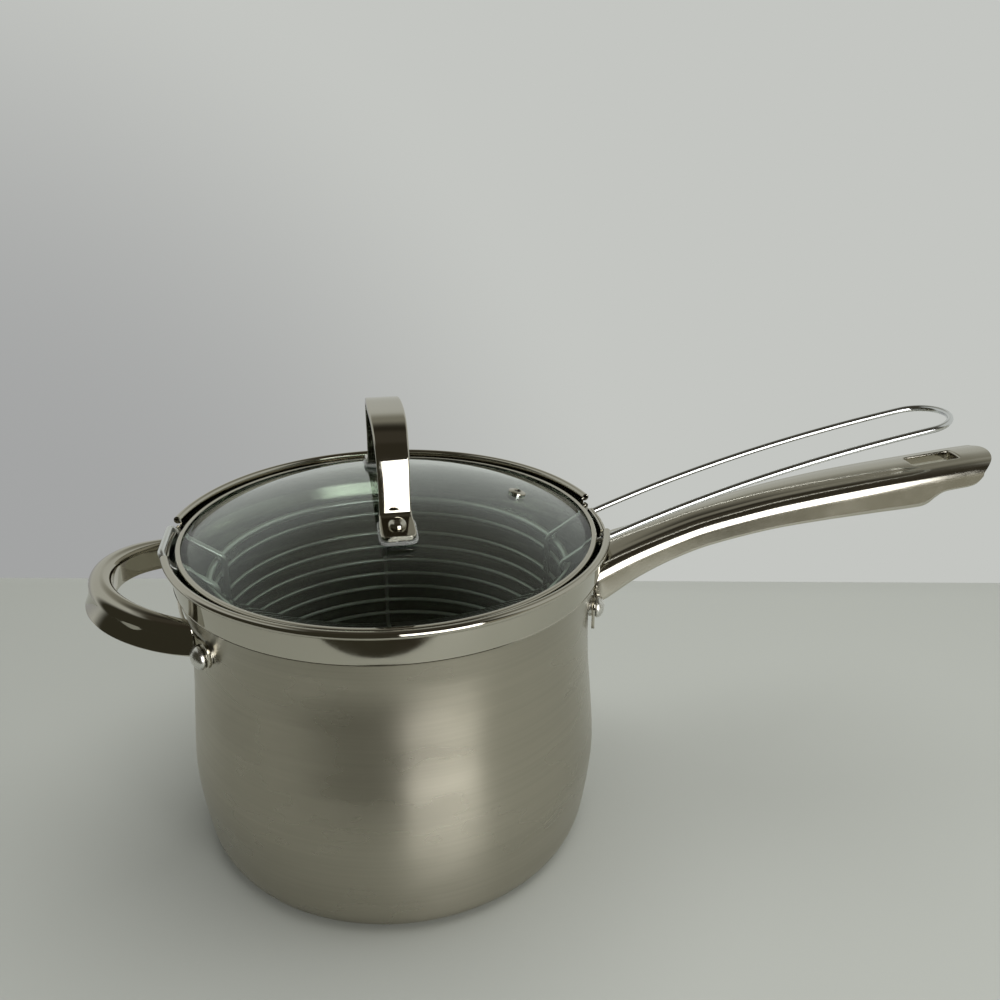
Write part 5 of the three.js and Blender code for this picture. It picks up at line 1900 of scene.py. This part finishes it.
class STOCKPOT_OT_lid_vent(bpy.types.Operator):
    """Set the steel eyelet in the glass's steam vent"""

    bl_idname = "stockpot.lid_vent"
    bl_label = "Lid vent"

    def execute(self, context):
        s = in_mm(context, "lid")
        at = lid_places(context)
        under = -at.depth - SEAT_GAP / 2
        outline = [
            (s.vent_bore, under - 0.9),
            (s.vent_flange - 0.4, under - 0.9),
            (s.vent_flange - 0.4, under),
            (s.vent_tube, under),
            (s.vent_tube, SEAT_GAP / 2),
            (s.vent_flange, SEAT_GAP / 2),
            (s.vent_flange - 0.2, 1.0),
            (s.vent_bore + 0.6, 1.5),
            (s.vent_bore, 1.1),
        ]
        place = on_dome(at, s.vent_at, context.scene.stockpot_angles.vent_turn)
        mesh = turned("lid_eyelet", rounded(outline, 0.35), 48, place)
        material = finish(context, "polished")
        piece("lid_eyelet", mesh, "lid", ["lid_vent_eyelet"], "polished_steel", material)
        return {"FINISHED"}


def strap_stations(s, at):
    """Return the strap's middle line in the plane across the lid, with its width, foot to foot."""
    lean = math.asin(at.screw_at / at.ball)
    base = s.pad + SEAT_GAP + s.strap_thickness / 2
    mid = s.strap_half - s.strap_thickness / 2
    stand = dome_height(at, at.screw_at)

    def foot(along, height):
        r = at.screw_at + along * math.cos(lean) + height * math.sin(lean)
        return Vector((0, r, stand - along * math.sin(lean) + height * math.cos(lean)))

    end = s.strap_half + s.foot_length - at.screw_at
    ankle = foot(mid - at.screw_at, base)
    top_z = at.dome_top + s.strap_top - s.strap_thickness / 2
    tall = top_z - ankle.z

    def arch(share):
        a = math.pi / 2 * share
        y = mid * max(math.cos(a), 0) ** 0.62
        return Vector((0, y, ankle.z + tall * (0.3 + 0.7 * math.sin(a) ** 0.86)))

    half = []
    for k in range(9):
        share = 1 - math.cos(math.pi / 2 * k / 8)
        width = s.foot_width - TOE * (1 - math.sin(math.pi / 2 * k / 8)) * 1.4
        half.append((foot(end - TOE * share, base), width))
    half.append((foot(-1.0, base), s.foot_width))
    # The straight leg leans in a little and runs into the arch just above its start.
    bend = bent([half[-1][0], ankle, arch(LEG_TO)], [ANKLE_BEND], 10)[1:-1]
    for k, q in enumerate(bend):
        half.append((q, mix(s.foot_width - 0.6, s.strap_leg, (k + 1) / len(bend))))
    for k in range(1, 6):
        half.append((mix(bend[-1], arch(LEG_TO), k / 6), s.strap_leg))
    for k in range(36):
        share = mix(LEG_TO, 1, k / 36)
        half.append((arch(share), mix(s.strap_leg, s.strap_width, share**1.4)))
    other = [(Vector((0, -q.y, q.z)), width) for q, width in half]
    return half + [(Vector((0, 0, top_z)), s.strap_width)] + other[::-1]


class STOCKPOT_OT_lid_strap(bpy.types.Operator):
    """Bend the lid's strap handle with its two flat feet"""

    bl_idname = "stockpot.lid_strap"
    bl_label = "Lid handle"

    def execute(self, context):
        s = in_mm(context, "lid")
        stations = strap_stations(s, lid_places(context))
        turn = Matrix.Rotation(context.scene.stockpot_angles.strap_turn, 3, "Z")
        across = Vector((1, 0, 0))
        rows = []
        for i, (q, width) in enumerate(stations):
            back = (q - stations[max(i - 1, 0)][0]).normalized()
            ahead = (stations[min(i + 1, len(stations) - 1)][0] - q).normalized()
            up = (back + ahead).normalized().cross(across)
            w, t = width / 2, s.strap_thickness / 2
            section = rounded([(w, -t), (w, t), (-w, t), (-w, -t)], t * 0.92, 5)
            rows.append([turn @ (q + across * c.x + up * c.y) for c in section])
        mesh = skinned("lid_strap", rows, closed_rows=True, capped=True)
        material = finish(context, "polished")
        piece("lid_strap", mesh, "lid", ["lid_handle_strap"], "polished_steel", material)
        return {"FINISHED"}


def pad_mesh(s, at, place):
    """Return one clear pad, its outline a little larger than the strap's foot."""
    wide = s.foot_width / 2 + s.pad_overhang
    start = s.strap_half - at.screw_at - 1.5
    end = s.strap_half + s.foot_length - at.screw_at + s.pad_overhang
    # The outline is moved by a hair, so that no corner counts as one on the axis.
    corners = four_corners(start, end, -wide, wide)
    outline = rounded([Vector(c) + Vector((1e-4, 0)) for c in corners], 4.2, 7)
    centre = Vector(((start + end) / 2, 0))
    rows = []
    for inset, z in ((0.35, 0.15), (0, 0.5), (0, s.pad - 0.2), (0.35, s.pad + 0.15)):
        row = []
        for q in outline:
            away = (q - centre).normalized()
            flat = q - away * inset
            row.append(place @ Vector((flat.x, flat.y, z)))
        rows.append(row)
    return skinned("pad", rows, closed_rows=True, capped=True)


class STOCKPOT_OT_lid_fixings(bpy.types.Operator):
    """Fix the strap to the glass with pads, domed screws, washers and nuts"""

    bl_idname = "stockpot.lid_fixings"
    bl_label = "Lid fixings"

    def execute(self, context):
        s = in_mm(context, "lid")
        at = lid_places(context)
        stands = [on_dome(at, at.screw_at, a) for a in strap_angles(context).values()]
        places = [stand.translation.copy() for stand in stands]
        axes = [stand.to_3x3() @ Vector((0, 0, 1)) for stand in stands]
        steel = finish(context, "polished")
        rubber = finish(context, "pad")
        pads = joined("lid_pads", [pad_mesh(s, at, stand) for stand in stands])
        piece("lid_pads", pads, "lid", ["lid_pad_front", "lid_pad_back"], "silicone", rubber)

        head = s.pad + SEAT_GAP + s.strap_thickness + 0.1
        washer_top = -at.depth - SEAT_GAP
        nut_top = washer_top - s.washer_thickness - SEAT_GAP
        tail = nut_top - s.nut_height - 0.8
        screw = [Vector((0, tail)), Vector((s.screw_shank - 0.4, tail))]
        screw += [Vector((s.screw_shank, tail + 0.4)), Vector((s.screw_shank, head))]
        screw += [Vector((s.screw_head - 0.2, head)), Vector((s.screw_head, head + 0.2))]
        for k in range(13):
            a = math.pi / 2 * k / 12
            z = head + 0.4 + s.screw_dome * math.sin(a)
            screw.append(Vector((s.screw_head * math.cos(a), z)))
        bore = s.screw_shank + HOLE_GAP

        def ring(outside, top, height, edge):
            return rounded(four_corners(bore, outside, top - height, top), edge)

        stud = turned("stud", screw, 36)
        washer = turned("washer", ring(s.washer, washer_top, s.washer_thickness, 0.3), 40)
        nut = turned("nut", ring(s.nut, nut_top, s.nut_height, 0.35), 6)
        sets = (
            ("lid_studs", stud, "lid_screw", "polished_steel", steel),
            ("lid_washers", washer, "lid_washer", "silicone", rubber),
            ("lid_nuts", nut, "lid_nut", "polished_steel", steel),
        )
        for name, pattern, node, slot, material in sets:
            mesh = pins(name, pattern, places, axes, material)
            piece(name, mesh, "lid", [node + "_front", node + "_back"], slot)
        return {"FINISHED"}


# Stage
# The camera stands where the reference view was taken from: place in millimetres, angles in degrees.
CAMERA_AT = (-16.9, -438.9, 353.1)
CAMERA_TURN = (67.43, 0.0, -9.08)
CAMERA_ROLL = 0.3
LENS_MM = 36
SENSOR_MM = 36
NEAREST_MM = 10
# The floor is a pale table top, square to the camera: its left, front, right and back edges.
FLOOR_EDGES = (-430, -256, 900, 255)
FLOOR_CORNER = 40
# Its rounded edge and its underside: how far each ring lies inside those edges, and its height.
FLOOR_PROFILE = ((3, 0), (1, -1), (0, -3), (0, -18))
# Area lamps: name, place and aim in metres, width, height, power in watts, and whether the steel
# mirrors the lamp.
LAMPS = (
    ("front_softbox", (0.44, -1.277, 0.29), (0, 0, 0.22), 0.9, 1.02, 12.6, True),
    ("overhead_fill", (0.3, 0.2, 1.9), (0, 0, 0.1), 1.8, 1.8, 25, False),
)
# Soft patches of the surround: heading and height in degrees, half width of the patch, width of its
# soft edge, and its colour. Heading 0 is along +X and 90 is along +Y. The camera sees only the first
# one, the shade low behind the floor; the steel mirrors them all.
SURROUND_PATCHES = [
    (118, -30, 8, 34, "#a3a4a4"),
    (82, 66, 24, 18, "#8f8e85"),
    (82, 82, 10, 24, "#34312a"),
    (-92, 66, 26, 14, "#46423a"),
    (-92, 0, 60, 12, "#3a362d"),
    (-142, -8, 46, 18, "#3a382e"),
    (-34, -22, 22, 22, "#99978a"),
]


def direction(heading, height):
    """Return the unit vector of a heading and a height in degrees."""
    a, b = math.radians(heading), math.radians(height)
    return Vector((math.cos(a) * math.cos(b), math.sin(a) * math.cos(b), math.sin(b)))


def light_surround(context):
    """Give the world a pale surround with some softer and darker patches for the steel to mirror."""
    world = bpy.data.worlds.new("Pale studio")
    context.scene.world = world
    world.use_nodes = True
    tree = world.node_tree
    tree.nodes.clear()
    place = add_node(tree, "ShaderNodeTexCoord").outputs["Generated"]
    tint = (*context.scene.stockpot_colours.surround, 1)
    shades = [tint]
    for heading, height, half, soft, tone in SURROUND_PATCHES:
        toward = add_node(
            tree,
            "ShaderNodeVectorMath",
            {0: place, 1: direction(heading, height)},
            operation="DOT_PRODUCT",
        )
        inside = math.cos(math.radians(half))
        outside = math.cos(math.radians(half + soft))
        share = add_node(
            tree,
            "ShaderNodeMapRange",
            {"Value": toward.outputs["Value"], "From Min": outside, "From Max": inside},
            interpolation_type="SMOOTHSTEP",
        )
        blend = add_node(
            tree,
            "ShaderNodeMix",
            {"Factor": share.outputs["Result"], "A": shades[-1], "B": (*linear(tone), 1)},
            data_type="RGBA",
        )
        shades.append(blend.outputs["Result"])
    seen = add_node(tree, "ShaderNodeLightPath").outputs["Is Camera Ray"]
    shown = add_node(
        tree, "ShaderNodeMix", {"Factor": seen, "A": shades[-1], "B": shades[1]}, data_type="RGBA"
    )
    lit = add_node(
        tree, "ShaderNodeBackground", {"Color": shown.outputs["Result"], "Strength": 1.0}
    )
    add_node(tree, "ShaderNodeOutputWorld", {"Surface": lit.outputs["Background"]})


def soft_lamp(name, place, aim, wide, tall, power, mirrored):
    """Hang an area lamp at a place in metres, turned to a point, that the steel mirrors or not."""
    data = bpy.data.lights.new(name, "AREA")
    data.shape = "RECTANGLE"
    data.size = wide
    data.size_y = tall
    data.energy = power
    lamp = bpy.data.objects.new(name, data)
    lamp.location = place
    lamp.rotation_euler = (Vector(aim) - Vector(place)).to_track_quat("-Z", "Y").to_euler()
    lamp.visible_camera = False
    lamp.visible_glossy = mirrored
    lamp.visible_transmission = mirrored
    bpy.context.scene.collection.objects.link(lamp)


def stage_floor(context):
    """Lay a pale table top with a faint unevenness."""
    tint = context.scene.stockpot_colours.floor
    grain = (160, 160, 160)
    material, tree, shader, _ = uneven(
        "Pale matt floor", tint, grain, 0.5, 0.7, 2.0, (0.0, 1.0), metallic=0.0
    )
    feed(tree, shader, {"Specular IOR Level": 0.3})
    left, front, right, back = FLOOR_EDGES
    corners = four_corners(left, right, front, back)
    turn = Matrix.Rotation(math.radians(CAMERA_TURN[2]), 3, "Z")
    rows = []
    for inset, z in FLOOR_PROFILE:
        inner = [(x - math.copysign(inset, x), y - math.copysign(inset, y)) for x, y in corners]
        rows.append([turn @ Vector((*q, z)) for q in rounded(inner, FLOOR_CORNER, 10)])
    mesh = skinned("stage_floor", rows, closed_rows=True, capped=True)
    mesh.shade_smooth()
    mesh.set_sharp_from_angle(angle=SMOOTH_ANGLE)
    mesh.materials.append(material)
    on_carrier("stage_floor", mesh)


class STOCKPOT_OT_stage(bpy.types.Operator):
    """Set the floor, the soft studio light and the camera"""

    bl_idname = "stockpot.stage"
    bl_label = "Stage, light and camera"

    def execute(self, context):
        context.scene.view_settings.view_transform = "Standard"
        stage_floor(context)
        light_surround(context)
        for lamp in LAMPS:
            soft_lamp(*lamp)
        data = bpy.data.cameras.new("camera")
        data.lens = LENS_MM
        data.sensor_width = SENSOR_MM
        data.clip_start = NEAREST_MM * MM
        camera = bpy.data.objects.new("camera", data)
        camera.location = Vector(CAMERA_AT) * MM
        turn = Euler([math.radians(a) for a in CAMERA_TURN]).to_matrix()
        roll = Matrix.Rotation(math.radians(CAMERA_ROLL), 3, "Z")
        camera.rotation_euler = (turn @ roll).to_euler()
        context.scene.collection.objects.link(camera)
        context.scene.camera = camera
        return {"FINISHED"}


# Panel and registration
STEPS = (
    STOCKPOT_OT_stage,
    STOCKPOT_OT_shell,
    STOCKPOT_OT_base,
    STOCKPOT_OT_plates,
    STOCKPOT_OT_rivets,
    STOCKPOT_OT_long_handle,
    STOCKPOT_OT_side_handle,
    STOCKPOT_OT_hoops,
    STOCKPOT_OT_frame_wires,
    STOCKPOT_OT_welds,
    STOCKPOT_OT_lid_band,
    STOCKPOT_OT_lid_glass,
    STOCKPOT_OT_lid_vent,
    STOCKPOT_OT_lid_strap,
    STOCKPOT_OT_lid_fixings,
)
GROUPS = {
    "stockpot_pot": PotSizes,
    "stockpot_handles": HandleSizes,
    "stockpot_basket": BasketSizes,
    "stockpot_lid": LidSizes,
    "stockpot_angles": LidAngles,
    "stockpot_colours": FinishColours,
}


class STOCKPOT_PT_panel(bpy.types.Panel):
    """List the pieces and their sizes"""

    bl_idname = "STOCKPOT_PT_panel"
    bl_label = "Stockpot"
    bl_space_type = "VIEW_3D"
    bl_region_type = "UI"
    bl_category = "Stockpot"

    def draw(self, context):
        for step in STEPS:
            self.layout.operator(step.bl_idname)
        for name, group in GROUPS.items():
            box = self.layout.box()
            box.label(text=group.__doc__)
            for field in group.__annotations__:
                box.prop(getattr(context.scene, name), field)


CLASSES = (*GROUPS.values(), *STEPS, STOCKPOT_PT_panel)


def register():
    """Register the classes and give the scene its settings."""
    for entry in CLASSES:
        bpy.utils.register_class(entry)
    for name, group in GROUPS.items():
        setattr(bpy.types.Scene, name, bpy.props.PointerProperty(type=group))


def unregister():
    """Take the settings and the classes away again."""
    for name in GROUPS:
        delattr(bpy.types.Scene, name)
    for entry in reversed(CLASSES):
        bpy.utils.unregister_class(entry)


def main():
    """Build the stage and every piece."""
    register()
    for step in STEPS:
        group, name = step.bl_idname.split(".")
        getattr(getattr(bpy.ops, group), name)()


if __name__ == "__main__":
    main()
